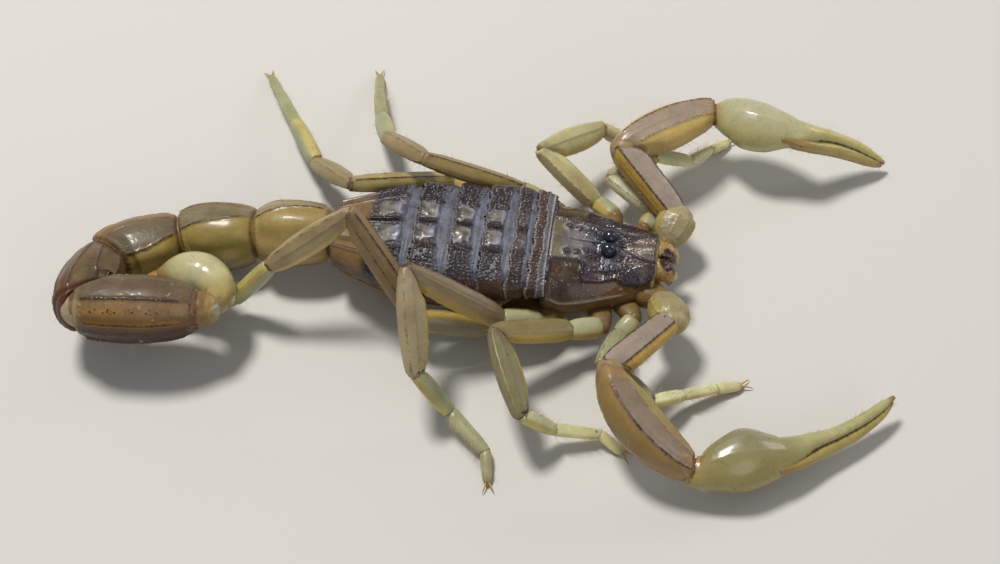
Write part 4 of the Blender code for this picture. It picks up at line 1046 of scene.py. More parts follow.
def hand_shape(name, wrist, knuckle, tip):
    table = {key: np.array(value).T for key, value in HANDS[name].items()}

    def line(u):
        return wrist + (knuckle - wrist) * u if u < 1 else knuckle + (tip - knuckle) * (u - 1)

    def place(u, part):
        """Centre, half breadth and half height of a part of the hand at u."""
        centre = sum(line(min(max(u + k, 0), 2) if 0 < u < 2 else u) for k in (-0.10, -0.05, 0.0, 0.05, 0.10)) / 5 if 0.1 < u < 1.9 else line(u)
        ahead = unit(line(min(u + 0.12, 2.0)) - line(max(u - 0.12, 0.0)))
        up = unit(HAND_UP - ahead * (HAND_UP @ ahead))
        top, low, seam, half = (float(curve(*table[key], [u])[0]) for key in ("top", "low", "seam", "half"))
        if part == "plate":
            low = low + (seam - 0.05 - low) * min(max((u - 0.88) / 0.28, 0.0), 1.0)
        elif part == "finger":
            top = seam + 0.05
            half = half * 0.97
            low = low + 0.16 * float(smooth(0.96, 0.84, u)) if u < 0.96 else low
        if part == "seam":
            return centre + up * seam, up
        return centre + up * (top + low) / 2, half, max((top - low) / 2, 0.05)

    return place


def teeth(skin, hand, start, end, stand):
    """Rows of dark granules along the biting edges: many small ones, and a larger one after every few."""
    count = 46
    for k in range(count):
        u = start + (end - start) * k / (count - 1)
        size = 0.060 if k % 5 == 0 else 0.034
        base, up = hand(u, "seam")
        across = unit(np.cross(up, HAND_AHEAD))
        half = hand(u, "plate")[1]
        lat = np.linspace(0.25, math.pi - 0.25, 4)
        lon = 2 * np.pi * np.arange(6) / 6
        dome = np.stack([np.outer(np.sin(lat), np.cos(lon)), np.outer(np.sin(lat), np.sin(lon)), np.outer(np.cos(lat), np.ones(6))], -1)
        for sign in (-1, 1):
            skin.grid(base + across * sign * half * 0.90 + dome * size, np.array([0.035, 0.014, 0.008]), 1.0)


HAND_AHEAD = np.array([1.0, 0.0, 0.0])

for arm_name in ARM_POSE:
    build_arm(arm_name)

# ---------------------------------------------------------------- head shield

CARAPACE_LENGTH = 5.8
# Along the shield from its rear edge: half breadth and height of the side margin.
CARAPACE_HALF = ((-5.8, 3.30), (-5.0, 3.40), (-4.0, 3.22), (-3.0, 2.92), (-1.65, 2.35), (-0.3, 1.80), (0.0, 1.70))
CARAPACE_EDGE = ((-5.8, 3.45), (-5.0, 3.18), (-3.0, 3.20), (-1.65, 3.02), (-0.3, 2.95), (0.0, 3.0))
CARAPACE_TOP = ((-5.8, 5.00), (-5.0, 4.88), (-4.0, 4.72), (-3.0, 4.50), (-2.0, 4.42), (-1.0, 4.45), (-0.3, 4.48), (0.0, 4.42))
CARAPACE_ARCH = ((-5.8, 2.9), (-3.0, 3.2), (0.0, 4.8))
EYE_RADIUS = 0.41
EYE_X = -2.64
EYE_Y = 0.44
EYE_Z = 4.68


def slab(skin, top, tint, dark, depth=0.16, curl=4):
    """A thin closed plate: rows of top run across the body, and its points run from the front edge to the rear."""
    across, along = top.shape[:2]
    normal = grid_normals(top, False)
    if normal[..., 2].sum() < 0:
        normal = -normal
    front = unit((top[:, 0] - top[:, 1]).mean(axis=0))
    rear = unit((top[:, -1] - top[:, -2]).mean(axis=0))
    bend = np.linspace(0, math.pi / 2, curl + 1)[1:]
    small = depth * 0.5
    edge_front = [top[:, 0] + front * small * math.sin(a) - normal[:, 0] * small * (1 - math.cos(a)) for a in bend]
    edge_rear = [top[:, -1] + rear * small * math.sin(a) - normal[:, -1] * small * (1 - math.cos(a)) for a in bend]
    low_front = top[:, 0] - normal[:, 0] * depth * 2
    low_rear = top[:, -1] - normal[:, -1] * depth * 2
    ring = np.concatenate([np.stack(edge_front[::-1], 1), top, np.stack(edge_rear, 1), low_rear[:, None], low_front[:, None]], 1)
    pad = lambda field, k: np.concatenate([np.repeat(field[:, :1], k, 1), field, np.repeat(field[:, -1:], k + 2, 1)], 1)
    tint, dark = pad(tint, curl), pad(np.broadcast_to(dark, top.shape[:2]), curl)
    # Curl the two side margins under.
    ends = []
    for end, step in ((0, 1), (-1, -1)):
        edge, inner = ring[end], ring[end + step]
        away = edge - inner
        away = away / np.maximum(np.linalg.norm(away, axis=1, keepdims=True), 1e-6)
        down = -np.concatenate([np.repeat(normal[end][:1], curl, 0), normal[end], np.repeat(normal[end][-1:], curl + 2, 0)])
        core = ring[end].mean(axis=0)
        rows = [edge + away * small * math.sin(a) + down * small * (1 - math.cos(a)) for a in bend]
        ends.append(rows)
    ring = np.concatenate([np.stack(ends[0][::-1]), ring, np.stack(ends[1])])
    tint = np.concatenate([np.repeat(tint[:1], curl, 0), tint, np.repeat(tint[-1:], curl, 0)])
    dark = np.concatenate([np.repeat(dark[:1], curl, 0), dark, np.repeat(dark[-1:], curl, 0)])
    skin.grid(ring, tint, dark)


def line_distance(x, y, points):
    """Distance to a broken line, and the share along it."""
    best = np.full(x.shape, 1e9)
    for (x0, y0), (x1, y1) in zip(points, points[1:]):
        dx, dy = x1 - x0, y1 - y0
        t = np.clip(((x - x0) * dx + (y - y0) * dy) / (dx * dx + dy * dy), 0, 1)
        best = np.minimum(best, np.hypot(x - x0 - t * dx, y - y0 - t * dy))
    return best


def shield_shape(x, across):
    half, edge, top, arch = (curve(*np.array(table).T, np.ravel(x)).reshape(np.shape(x)) for table in (CARAPACE_HALF, CARAPACE_EDGE, CARAPACE_TOP, CARAPACE_ARCH))
    return half, top - (top - edge) * np.abs(across) ** arch


def shield_rows(count):
    """Shares of the half breadth, evenly spaced over the arched section."""
    dense = np.linspace(-1, 1, 2001)
    half, z = shield_shape(np.full(2001, -2.6), dense)
    arc = np.concatenate([[0], np.cumsum(np.hypot(np.diff(dense * half), np.diff(z)))])
    return np.interp(np.linspace(0, arc[-1], count), arc, dense), arc[-1]


def build_shield():
    step = 0.042 / FINE
    xs = np.linspace(-0.02, -CARAPACE_LENGTH, int(CARAPACE_LENGTH / step))
    vs, girth = shield_rows(int(8.6 / step))
    x, across = np.meshgrid(xs, vs)
    half, z = shield_shape(x, across)
    y = across * half
    a = np.abs(y)
    place = np.stack([x, y, z], -1)
    keel = lambda points: line_distance(x, a, points)

    brow = keel([(-0.04, 0.84), (-0.55, 0.80), (-1.20, 0.60), (-1.85, 0.28)])
    far_brow = keel([(-1.75, 0.55), (-2.10, 0.95), (-2.45, 1.00)])
    rim_keel = keel([(-0.16, 1.42), (-0.40, 1.60), (-0.92, 1.78), (-1.45, 1.92), (-2.05, 1.82), (-2.9, 2.12), (-3.85, 2.28)])
    back_keel = keel([(-3.85, 2.28), (-4.02, 1.90), (-3.92, 1.45)])
    middle_keel = keel([(-3.00, 0.66), (-3.45, 0.98), (-4.10, 1.12)])
    side_keel = keel([(-2.10, 1.42), (-2.8, 1.60), (-3.5, 1.75)])
    rear_keel = keel([(-3.92, 1.40), (-4.30, 1.27), (-5.62, 1.42)])
    furrow_rim = np.minimum(keel([(-3.45, 0.13), (-4.60, 0.11)]), 9)
    boss = np.hypot((x + 4.86) / 0.30, (a - 0.86) / 0.27)
    boss2 = np.hypot((x + 4.33) / 0.30, (a - 0.80) / 0.24)
    boss3 = np.hypot((x + 3.82) / 0.27, (a - 0.62) / 0.30)
    knoll = np.hypot((x - EYE_X) / 0.78, y / 0.86)

    edge_line = curve(*np.array(((-3.95, 2.30), (-3.0, 2.16), (-2.2, 1.90), (-1.65, 2.02), (-0.92, 1.88), (-0.35, 1.66), (0.0, 1.40))).T, np.ravel(x)).reshape(x.shape)
    ragged = 0.06 * noise(place, 0.32, 3) + 0.05 * noise(place, 0.15, 4)
    dark_zone = smooth(-4.08, -3.98, x + 0.6 * ragged) * (1 - smooth(-0.04, 0.06, a + ragged - edge_line))
    dark_zone = np.maximum(dark_zone, smooth(-5.9, -4.6, x) * (1 - smooth(1.28, 1.42, a + 0.5 * ragged)) * 0.55)
    wedge = 1 - smooth(-0.05, 0.10, a - (0.28 + (x + 1.85) * 0.40 * np.where(x > -0.9, 0.86, 1.0)))
    wedge = wedge * smooth(-1.95, -1.75, x)
    rear_middle = (1 - smooth(1.25, 1.40, a)) * (1 - smooth(-3.9, -3.55, x))
    patch = np.maximum.reduce(
        [
            bell(np.hypot((x + 3.15) / 0.34, (a - 1.82) / 0.22), 1.0),
            bell(np.hypot((x + 1.15) / 0.52, (a - 1.02) / 0.20), 1.0),
            bell(np.hypot((x + 0.60) / 0.30, (a - 1.32) / 0.20), 1.0),
            0.8 * bell(np.hypot((x + 3.45) / 0.26, (a - 1.30) / 0.16), 1.0),
        ]
    )
    # Patches of painted sheen: their blue-grey colour stands for a bluish reflection; they are also smoother and a
    # little raised.
    blue_sheen_patch = np.maximum.reduce(
        [
            bell(np.hypot((x + 2.52) / 0.42, (a - 1.05) / 0.20), 1.0),
            bell(np.hypot((x + 3.70) / 0.34, (a - 0.34) / 0.18), 1.0),
            0.7 * bell(np.hypot((x + 2.05) / 0.25, (a - 1.20) / 0.20), 1.0),
        ]
    )

    coarse = granules(x, y, 0.185, 11, 0.8)
    medium = granules(x + 3, y, 0.120, 12, 0.75)
    fine = granules(x, y + 5, 0.075, 13, 0.7)
    rows = lambda d, width, period: bell(d, width) * (0.50 + 0.50 * np.abs(np.cos(np.pi * (x * 0.9 + y * 0.4) / period)))
    height = (
        0.085 * rows(brow, 0.065, 0.12)
        + 0.06 * rows(far_brow, 0.07, 0.13)
        + 0.11 * rows(rim_keel, 0.09, 0.15)
        + 0.10 * rows(back_keel, 0.09, 0.15)
        + 0.11 * rows(middle_keel, 0.11, 0.15)
        + 0.09 * rows(side_keel, 0.10, 0.15)
        + 0.13 * rows(rear_keel, 0.085, 0.13)
        + 0.15 * (1 - smooth(0.0, 1.0, boss))
        + 0.11 * (1 - smooth(0.0, 1.0, boss2))
        + 0.13 * (1 - smooth(0.0, 1.0, boss3))
        + 0.26 * (1 - smooth(0.20, 1.15, knoll))
    )
    height -= 0.05 * wedge * bell(a - 0.35, 0.20)
    height += 0.03 * wedge * noise(place, 0.30, 67) + 0.018 * wedge * medium
    height -= 0.10 * bell(y, 0.055) * smooth(-5.6, -5.2, x) * (1 - smooth(-3.35, -3.15, x))
    height -= 0.05 * bell(y, 0.05) * bell(x - EYE_X, 0.55)
    height -= 0.06 * patch
    height += 0.03 * blue_sheen_patch
    height -= 0.09 * bell(np.hypot((x + 4.60) / 0.22, (a - 1.12) / 0.14), 1.0)
    rough_zone = dark_zone * (1 - 0.85 * wedge) * (1 - 0.6 * patch) * (1 - 0.75 * blue_sheen_patch) * (1 - 0.8 * (1 - smooth(0.75, 1.0, knoll)))
    height += 0.038 * coarse * rough_zone * (1 - 0.6 * rear_middle) + 0.024 * medium * (0.06 + 0.94 * rough_zone) + 0.007 * fine * (0.3 + 0.7 * dark_zone)
    height += 0.050 * noise(place, 0.62, 21) * dark_zone
    # Scattered small granules on the smooth flanks.
    scattered = smooth(0.55, 0.75, medium) * (noise(place, 0.22, 61) > 0.28) * (1 - dark_zone)
    height += 0.02 * scattered
    # Sockets around the two middle eyes.
    for side in (-1, 1):
        eye = np.sqrt((x - EYE_X) ** 2 + (y - side * EYE_Y) ** 2)
        height += 0.03 * bell(eye - 0.46, 0.045)
    height += 0.045 * bell(x + 0.09, 0.06) * (0.6 + 0.4 * np.abs(np.cos(np.pi * y / 0.15)))
    height += 0.04 * bell(x + 5.70, 0.06)
    edge_in = (1 - np.abs(across)) * girth / 2
    height += 0.04 * bell(edge_in - 0.05, 0.05) * smooth(-0.6, -2.0, x)
    height *= smooth(0.0, 0.10, edge_in + 0.05)
    normal = grid_normals(place, False)
    top = place + normal * (1 if normal[..., 2].sum() > 0 else -1) * height[..., None]

    flank = blend(np.broadcast_to(np.array([0.046, 0.020, 0.006]), place.shape), np.array([0.130, 0.063, 0.012]), smooth(-4.2, -1.0, x))
    tint = flank * (1 + 0.35 * noise(place, 0.55, 5)[..., None] + 0.2 * noise(place, 0.2, 6)[..., None])
    tint = blend(tint, np.array([0.070, 0.050, 0.040]), 0.7 * bell(np.hypot((x + 4.95) / 0.45, (a - 2.15) / 0.32), 1.0))
    tint = blend(tint, np.array([0.20, 0.15, 0.11]), 0.8 * scattered)
    soot = np.array([0.023, 0.012, 0.019])
    # Granule tops painted lighter purple-brown on the dark ground: a painted highlight on each granule.
    granule_highlight = np.array([0.038, 0.023, 0.032])
    ground = blend(np.broadcast_to(soot, place.shape), granule_highlight, 0.8 * coarse)
    tint = blend(tint, ground, dark_zone)
    grey = np.array([0.140, 0.124, 0.108])
    tint = blend(tint, grey * (1 + 0.30 * noise(place, 0.30, 8)[..., None]), 0.85 * rear_middle)
    # Pale lilac on the rear middle bump: partly its own grey, partly a painted sheen.
    tint = blend(tint, np.array([0.215, 0.200, 0.225]), 0.75 * bell(np.hypot((x + 4.35) / 0.55, (a - 0.36) / 0.17), 1.0))
    olive = np.array([0.150, 0.122, 0.066])
    tint = blend(tint, olive, 0.85 * rear_middle * (1 - smooth(-5.40, -5.0, x)) * smooth(0.05, 0.35, a))
    tint = blend(tint, np.array([0.28, 0.25, 0.22]), 0.85 * bell(boss - 1.22, 0.15) * (1 - smooth(-4.95, -4.80, x)) * rear_middle)
    tint = blend(tint, np.array([0.24, 0.22, 0.20]), 0.75 * bell(boss2 - 1.25, 0.14) * smooth(0.75, 0.95, a) * (1 - smooth(-4.35, -4.2, x)))
    tint = blend(tint, soot, 0.9 * (1 - smooth(0.50, 0.95, boss)))
    tint = blend(tint, soot, 0.85 * (1 - smooth(0.6, 1.0, boss2)))
    tint = blend(tint, soot, 0.7 * (1 - smooth(0.7, 1.1, boss3)))
    tint = blend(tint, np.array([0.30, 0.26, 0.23]), 0.8 * bell(furrow_rim, 0.028) * smooth(-4.75, -4.5, x) * (1 - smooth(-3.6, -3.4, x)))
    fawn = np.array([0.135, 0.090, 0.066]) * (1 + 0.22 * noise(place, 0.22, 15)[..., None])
    tint = blend(tint, fawn, 0.85 * wedge * (1 - bell(brow, 0.065)))
    tint = blend(tint, soot * 1.6, 0.75 * wedge * smooth(0.35, 0.75, medium) * (noise(place, 0.25, 66) > 0.0))
    tint = blend(tint, np.array([0.220, 0.185, 0.120]), 0.80 * wedge * bell(y + 0.16 - 0.10 * (x + 0.9), 0.13) * smooth(-1.45, -1.05, x))
    tint = blend(tint, np.array([0.145, 0.100, 0.075]) * (1 + 0.2 * noise(place, 0.2, 17)[..., None]), 0.85 * np.clip(patch, 0, 1) * (1 - 0.6 * coarse))
    # Painted sheen: the patches are painted blue-grey.
    tint = blend(tint, np.array([0.095, 0.100, 0.135]), 0.85 * np.clip(blue_sheen_patch, 0, 1))
    keel_dark = np.maximum.reduce([bell(brow, 0.060), bell(rim_keel, 0.09), bell(back_keel, 0.09), bell(middle_keel, 0.11), bell(side_keel, 0.09), 1.1 * bell(rear_keel, 0.085), bell(far_brow, 0.07)])
    tint = blend(tint, soot * 0.9, 0.95 * np.clip(keel_dark, 0, 1))
    tint = blend(tint, np.array([0.013, 0.010, 0.024]), 1 - smooth(0.86, 1.08, knoll))
    glint = np.array([0.150, 0.120, 0.150])
    tint = blend(tint, glint, 0.55 * np.clip(keel_dark, 0, 1) * smooth(0.6, 0.95, medium) * (noise(place, 0.45, 31) > 0.10))
    tint = blend(tint, np.array([0.36, 0.33, 0.30]), 0.75 * bell(x + 5.77, 0.035))
    tint = blend(tint, np.array([0.24, 0.18, 0.12]), 0.75 * bell(edge_in - 0.05, 0.05) * (1 - smooth(-2.6, -0.9, x)))
    tint = blend(tint, np.array([0.030, 0.016, 0.016]), 0.85 * bell(x + 0.08, 0.055) * (a < 1.45))
    skin = Skin()
    slab(skin, top, np.maximum(tint, 0.004), 0.30 * np.clip(keel_dark, 0, 1) * (1 - 0.5 * coarse), depth=0.16)
    skin.build("carapace_skin", SHIELD, ("carapace",))


def bead(skin, centre, radius, tint, squash=(1, 1, 1), segments=28):
    lat = np.linspace(0.03, math.pi - 0.03, segments // 2 + 1)
    lon = 2 * np.pi * np.arange(segments) / segments
    grid = np.stack([np.outer(np.sin(lat), np.cos(lon)), np.outer(np.sin(lat), np.sin(lon)), np.outer(np.cos(lat), np.ones(segments))], -1)
    skin.grid(np.asarray(centre) + grid * np.asarray(squash) * radius, np.asarray(tint, float), 0.0)


def build_eyes():
    for side, name in ((1, "left"), (-1, "right")):
        skin = Skin()
        bead(skin, (EYE_X, side * EYE_Y, EYE_Z), EYE_RADIUS * 1.01, (0.01, 0.01, 0.012), segments=44)
        skin.build(f"eye_{name}_lens", EYE, (f"eye_{name}",))
    # Three small side eyes on each front corner.
    skin = Skin()
    for side in (-1, 1):
        for k, (x, out) in enumerate(((-0.24, 0.90), (-0.46, 0.925), (-0.68, 0.94))):
            half, z = shield_shape(np.array(x), np.array(side * out))
            bead(skin, (x, side * out * float(half), float(z) + 0.03), (0.085, 0.08, 0.07)[k], (0.01, 0.01, 0.012), segments=16)
    skin.build("side_eyes", EYE)


build_shield()
build_eyes()

# ---------------------------------------------------------------- mouthparts, coxae and breastplate


def build_jaws():
    for side, name in ((1, "left"), (-1, "right")):
        skin = Skin()
        points = [np.array(p) * np.array([1, side, 1]) for p in ((-0.30, 0.58, 3.46), (0.04, 0.60, 3.50), (0.36, 0.60, 3.42), (0.66, 0.58, 3.16), (0.82, 0.56, 2.82))]
        tip = points[-1]
        rows = [(p, a, b) for p, a, b in zip(points, (0.50, 0.55, 0.57, 0.54, 0.44), (0.52, 0.58, 0.60, 0.55, 0.44))]
        grid, info = sweep(rows, UP, 0.045 / FINE, power=2.3, round_ends=(0.3, 0.6))
        net = granules(grid[..., 0] + 0.3 * grid[..., 2], grid[..., 1] + 0.5 * grid[..., 2], 0.15, 71 + side, 0.62)
        grid = raised(grid, 0.040 * net)
        amber = blend(np.broadcast_to(np.array([0.34, 0.20, 0.050]), grid.shape), np.array([0.50, 0.40, 0.17]), 0.7 * smooth(0.42, 0.10, info["t"]) * np.ones(grid.shape[:2]))
        amber = blend(amber, np.array([0.27, 0.125, 0.035]), 0.8 * smooth(0.1, -0.6, np.sin(np.radians(info["angle"]))) * np.ones(grid.shape[:2]))
        spot = np.hypot((grid[..., 0] - 0.70) / 0.56, (grid[..., 1] + 0.26) / 0.74)
        cover = (1 - smooth(0.88, 1.10, spot + 0.16 * noise(grid, 0.22, 77))) * smooth(-0.3, 0.1, np.sin(np.radians(info["angle"])))
        amber = blend(amber, np.array([0.026, 0.008, 0.005]), 0.98 * np.clip(1.3 * cover, 0, 1))
        amber = blend(amber, np.array([0.200, 0.080, 0.025]), 0.60 * cover * smooth(0.46, 0.72, noise(grid, 0.16, 79)))
        # Pinkish granule tops on the dark spot are painted glints.
        amber = blend(amber, np.array([0.380, 0.280, 0.280]), 0.70 * cover * smooth(0.86, 0.97, net) * (noise(grid, 0.3, 78) > 0.12))
        skin.grid(grid, amber, 0.0)
        add_bristles(grid, info, 16, 0.22, 80 + side, lean=1.0)
        # Fixed finger on the inner side, movable finger on the outer side.
        for offset, length, width, hook in ((-0.22, 0.58, 0.20, 0.18), (0.20, 0.66, 0.19, 0.05)):
            start = tip + np.array([-0.05, side * offset, -0.10])
            direction = np.array([0.25, -side * offset * 0.35, -1.0])
            claw(skin, start, direction, np.array([-0.7, -side * offset, 0]), length, width, hook + 0.25, np.array([0.17, 0.075, 0.03]), steps=14, sides=14)
            for tooth in (0.42, 0.62):
                root = start + unit(direction) * length * tooth + np.array([-0.02, -side * np.sign(offset) * 0.05, 0])
                claw(skin, root, np.array([-0.25, -side * np.sign(offset), -0.35]), direction, 0.13, 0.045, 0.1, np.array([0.06, 0.025, 0.012]), steps=4, sides=8)
        skin.build(f"chelicera_{name}_skin", JAW, (f"chelicera_{name}",))


def build_breast():
    """Leg coxae in a fan around a small breastplate, with the maxillary lobes before it."""
    skin = Skin()
    for side in (-1, 1):
        for number, (hip_x, hip_y, hip_z) in enumerate(HIPS, start=1):
            hip = np.array([hip_x, side * hip_y, hip_z])
            inner = np.array([-1.9 - 0.75 * number, side * 0.42, 1.45])
            girth = 0.62 + 0.03 * number
            rows = [(inner + (hip - inner) * s, a * girth, b) for s, a, b in ((0.0, 0.62, 0.34), (0.15, 0.92, 0.44), (0.45, 1.05, 0.50), (0.80, 0.92, 0.50), (0.97, 0.74, 0.42))]
            grid, info = sweep(rows, UP, 0.13 / FINE, power=2.6, round_ends=(0.3, 0.4))
            tint = blend(np.broadcast_to(SHADED_COXA_AMBER * 1.15, grid.shape), np.array([0.34, 0.22, 0.08]), 0.6 * smooth(0.3, -0.8, np.sin(np.radians(info["angle"]))) * np.ones(grid.shape[:2]))
            keels = Keels(info).add(235, 0.03, 0.08, dark=0.5).add(305, 0.03, 0.08, dark=0.4)
            skin.grid(raised(grid, keels.height), tint * (1 + 0.15 * noise(grid, 0.7, number)[..., None]), keels.dark)
            add_bristles(grid, info, 12, 0.30, 90 + number + 5 * side)
        # Maxillary lobes and the coxa of the pincer arm.
        arm = np.array([0.35, side * 1.95, 2.50])
        inner = np.array([-1.9, side * 0.62, 2.35])
        rows = [(inner + (arm - inner) * s, a, b) for s, a, b in ((0.0, 0.5, 0.45), (0.3, 0.80, 0.70), (0.7, 0.85, 0.78), (1.0, 0.66, 0.62))]
        grid, info = sweep(rows, UP, 0.13 / FINE, power=2.4)
        skin.grid(grid, SHADED_COXA_AMBER * 1.25 * (1 + 0.15 * noise(grid, 0.6, 33)[..., None]), 0.0)
        rows = [(np.array([-1.6, side * 0.35, 1.72]), 0.24, 0.22), (np.array([-0.6, side * 0.36, 1.80]), 0.34, 0.26), (np.array([0.25, side * 0.30, 2.0]), 0.24, 0.2)]
        grid, info = sweep(rows, UP, 0.12 / FINE)
        skin.grid(grid, np.array([0.42, 0.28, 0.10]), 0.0)
        # Side wall between the shield and the coxae.
        rows = [(np.array([x, side * y, z]), a, b) for x, y, z, a, b in ((-0.15, 1.05, 2.85, 0.5, 0.50), (-1.5, 1.62, 2.62, 0.72, 0.62), (-3.2, 2.20, 2.62, 0.72, 0.70), (-4.8, 2.62, 2.65, 0.66, 0.70), (-5.9, 2.7, 2.75, 0.6, 0.7))]
        grid, info = sweep(rows, UP, 0.12 / FINE)
        folds = 0.02 * np.sin(info["s"] * 9 + 2 * np.sin(info["s"] * 2)) * np.ones(grid.shape[:2])
        # The wall under the shield's edge takes the shaded coxa amber, a little darker still: painted shade.
        tint = SHADED_COXA_AMBER * 0.85 * (1 + 0.2 * noise(grid, 0.8, 34)[..., None])
        skin.grid(raised(grid, folds), tint, 0.0)
    # Sternum, a small near-triangular plate, and the genital plate behind it.
    for x0, x1, half0, half1, z in ((-3.3, -4.7, 0.22, 0.62, 0.98), (-4.85, -5.65, 0.72, 0.62, 0.98)):
        rows = [(np.array([x0, 0, z]), half0, 0.12), (np.array([(x0 + x1) / 2, 0, z - 0.04]), (half0 + half1) / 2 + 0.05, 0.16), (np.array([x1, 0, z]), half1, 0.12)]
        grid, info = sweep(rows, UP, 0.10 / FINE, power=2.8)
        skin.grid(grid, np.array([0.36, 0.24, 0.09]), 0.0)
    # Front wall under the shield's edge, pale, behind the jaws.
    rows = [(np.array([-0.05 - 0.05 * abs(y), y, z]), 0.14, h) for y, z, h in ((-1.46, 3.10, 0.30), (-1.28, 3.48, 0.40), (-0.7, 3.88, 0.42), (0.0, 3.92, 0.42), (0.7, 3.88, 0.42), (1.28, 3.48, 0.40), (1.46, 3.10, 0.30))]
    grid, info = sweep(rows, UP, 0.09 / FINE)
    skin.grid(grid, CREAM * np.array([0.72, 0.62, 0.40]), 0.0)
    rows = [(np.array([-0.25, 0, 2.95]), 1.15, 0.7), (np.array([-2.5, 0, 2.8]), 2.0, 1.2), (np.array([-6.0, 0, 2.9]), 2.4, 1.5)]
    grid, info = sweep(rows, UP, 0.22 / FINE)
    skin.grid(grid, SHADED_COXA_AMBER, 0.0)
    skin.build("coxae_skin", MEMBRANE, ("coxae",))


build_jaws()
build_breast()

# ---------------------------------------------------------------- trunk

TRUNK_BOTTOM = 1.15
TRUNK_X = (-5.8, -6.45, -7.25, -8.30, -9.65, -11.50, -13.75, -15.6, -17.95)
TRUNK_HALF = (3.3, 3.45, 3.60, 3.72, 3.78, 3.80, 3.55, 2.95, 1.95)
TRUNK_TOP = (5.20, 5.22, 5.24, 5.26, 5.28, 5.34, 5.34, 5.16, 4.72)


def body_sizes(x):
    order = np.argsort(TRUNK_X)
    xs = np.array(TRUNK_X)[order]
    half = curve(xs, np.array(TRUNK_HALF)[order], x)
    top = curve(xs, np.array(TRUNK_TOP)[order], x)
    over = np.clip((x + 10.2) / 1.8, 0, 1)
    low = TRUNK_BOTTOM + 1.55 * over * over * (3 - 2 * over)
    rear = np.clip((-13.75 - x) / 4.2, 0, 1)
    low = low + 0.75 * rear ** 2
    return half, top, low


def body_point(x, degrees, swell=1.0):
    """Point of the trunk's outline at x; 90 is the back's middle, 0 the left flank, 270 the belly."""
    half, top, low = body_sizes(np.ravel(x))
    shape = np.shape(x)
    half, top, low = (v.reshape(shape) for v in (half, top, low))
    middle = low + 0.58 * (top - low)
    c, s = np.cos(np.radians(degrees)), np.sin(np.radians(degrees))
    y = half * np.sign(c) * np.abs(c) ** 0.78 * np.where(s < 0, 1 - 0.10 * np.abs(s), 1.0)
    z = np.where(s >= 0, middle + (top - middle) * np.abs(s) ** 0.86, middle - (middle - low) * np.abs(s) ** 0.62)
    centre = (top + low) / 2
    return np.stack([x + 0 * y, y * swell, centre + (z - centre) * swell], -1)


def even_angles(start, end, count, x=-11.5):
    dense = np.linspace(start, end, 3000)
    points = body_point(np.full(3000, x), dense)
    arc = np.concatenate([[0], np.cumsum(np.linalg.norm(np.diff(points, axis=0), axis=1))])
    return np.interp(np.linspace(0, arc[-1], count), arc, dense), arc[-1]


def build_membrane():
    """The soft body under the plates, blue-grey above between them and brown along the flanks."""
    step = 0.085 / FINE
    angles, girth = even_angles(-90, 270, int(22.5 / step))
    xs = np.linspace(-5.74, -18.1, int(12.4 / step))
    x, angle = np.meshgrid(xs, angles, indexing="ij")
    grid = body_point(x, angle, 0.965)
    grid[..., 2] -= 0.20 * smooth(-6.05, -5.80, x) * np.clip(np.sin(np.radians(angle)), 0, 1)
    grid[..., 1] *= 1 - 0.07 * smooth(-6.10, -5.78, x)
    upper = smooth(-0.05, 0.25, np.sin(np.radians(angle)))
    pleats = 0.030 * np.sin(x * 15 + 0.6 * np.sin(angle / 9)) * upper + 0.045 * np.sin(x * 7.5 + angle / 14) * (1 - upper)
    shut = smooth(0, 0.5, x - xs[-1])
    grid = raised(grid, (pleats * 0.8 + 0.022 * granules(x, angle * 0.065, 0.115, 56, 0.45, 0.40) * upper + 0.03 * noise(body_point(x, angle), 0.45, 58) * upper) * shut)
    place = body_point(x, angle)
    dots = granules(x, angle * 0.065, 0.115, 56, 0.45, 0.40)
    blue = np.array([0.108, 0.112, 0.142]) * (1 + 0.35 * noise(place, 0.35, 51)[..., None] + 0.2 * noise(place, 0.12, 52)[..., None])
    blue = blend(blue, np.array([0.215, 0.215, 0.255]), 0.55 * dots)
    # Painted shade: the blue-grey darkens to near black away from the back's middle line, down the sides under the
    # plates' margins.
    height_share = np.abs(turn(angle, 90)) / 90
    blue = blend(blue, np.array([0.030, 0.028, 0.036]), 0.92 * smooth(0.42, 0.72, height_share))
    side_tone = np.array([0.150, 0.082, 0.032]) * (1 + 0.25 * noise(place, 0.8, 53)[..., None])
    belly = np.array([0.330, 0.240, 0.115])
    s = np.sin(np.radians(angle))
    tint = blend(side_tone, blue, smooth(0.10, 0.42, s))
    tint = blend(tint, np.array([0.165, 0.100, 0.045]), smooth(-16.0, -17.2, x) * 0.85)
    tint = blend(tint, belly, smooth(-0.45, -0.9, s))
    skin = Skin()
    skin.grid(grid, tint, 0.0)
    skin.build("trunk_membrane", SOFT_BACK)


# Back plates: front edge, rear edge, and how strongly the pale squares and keels show.
BACK_PLATES = (
    (-5.92, -6.12, 0.0, 0.10),
    (-6.19, -6.64, 0.05, 0.35),
    (-7.06, -7.74, 0.40, 0.65),
    (-8.42, -9.44, 0.9, 0.95),
    (-10.14, -11.22, 1.0, 1.0),
    (-12.12, -13.30, 1.0, 1.0),
    (-14.02, -17.86, 0.9, 1.0),
)


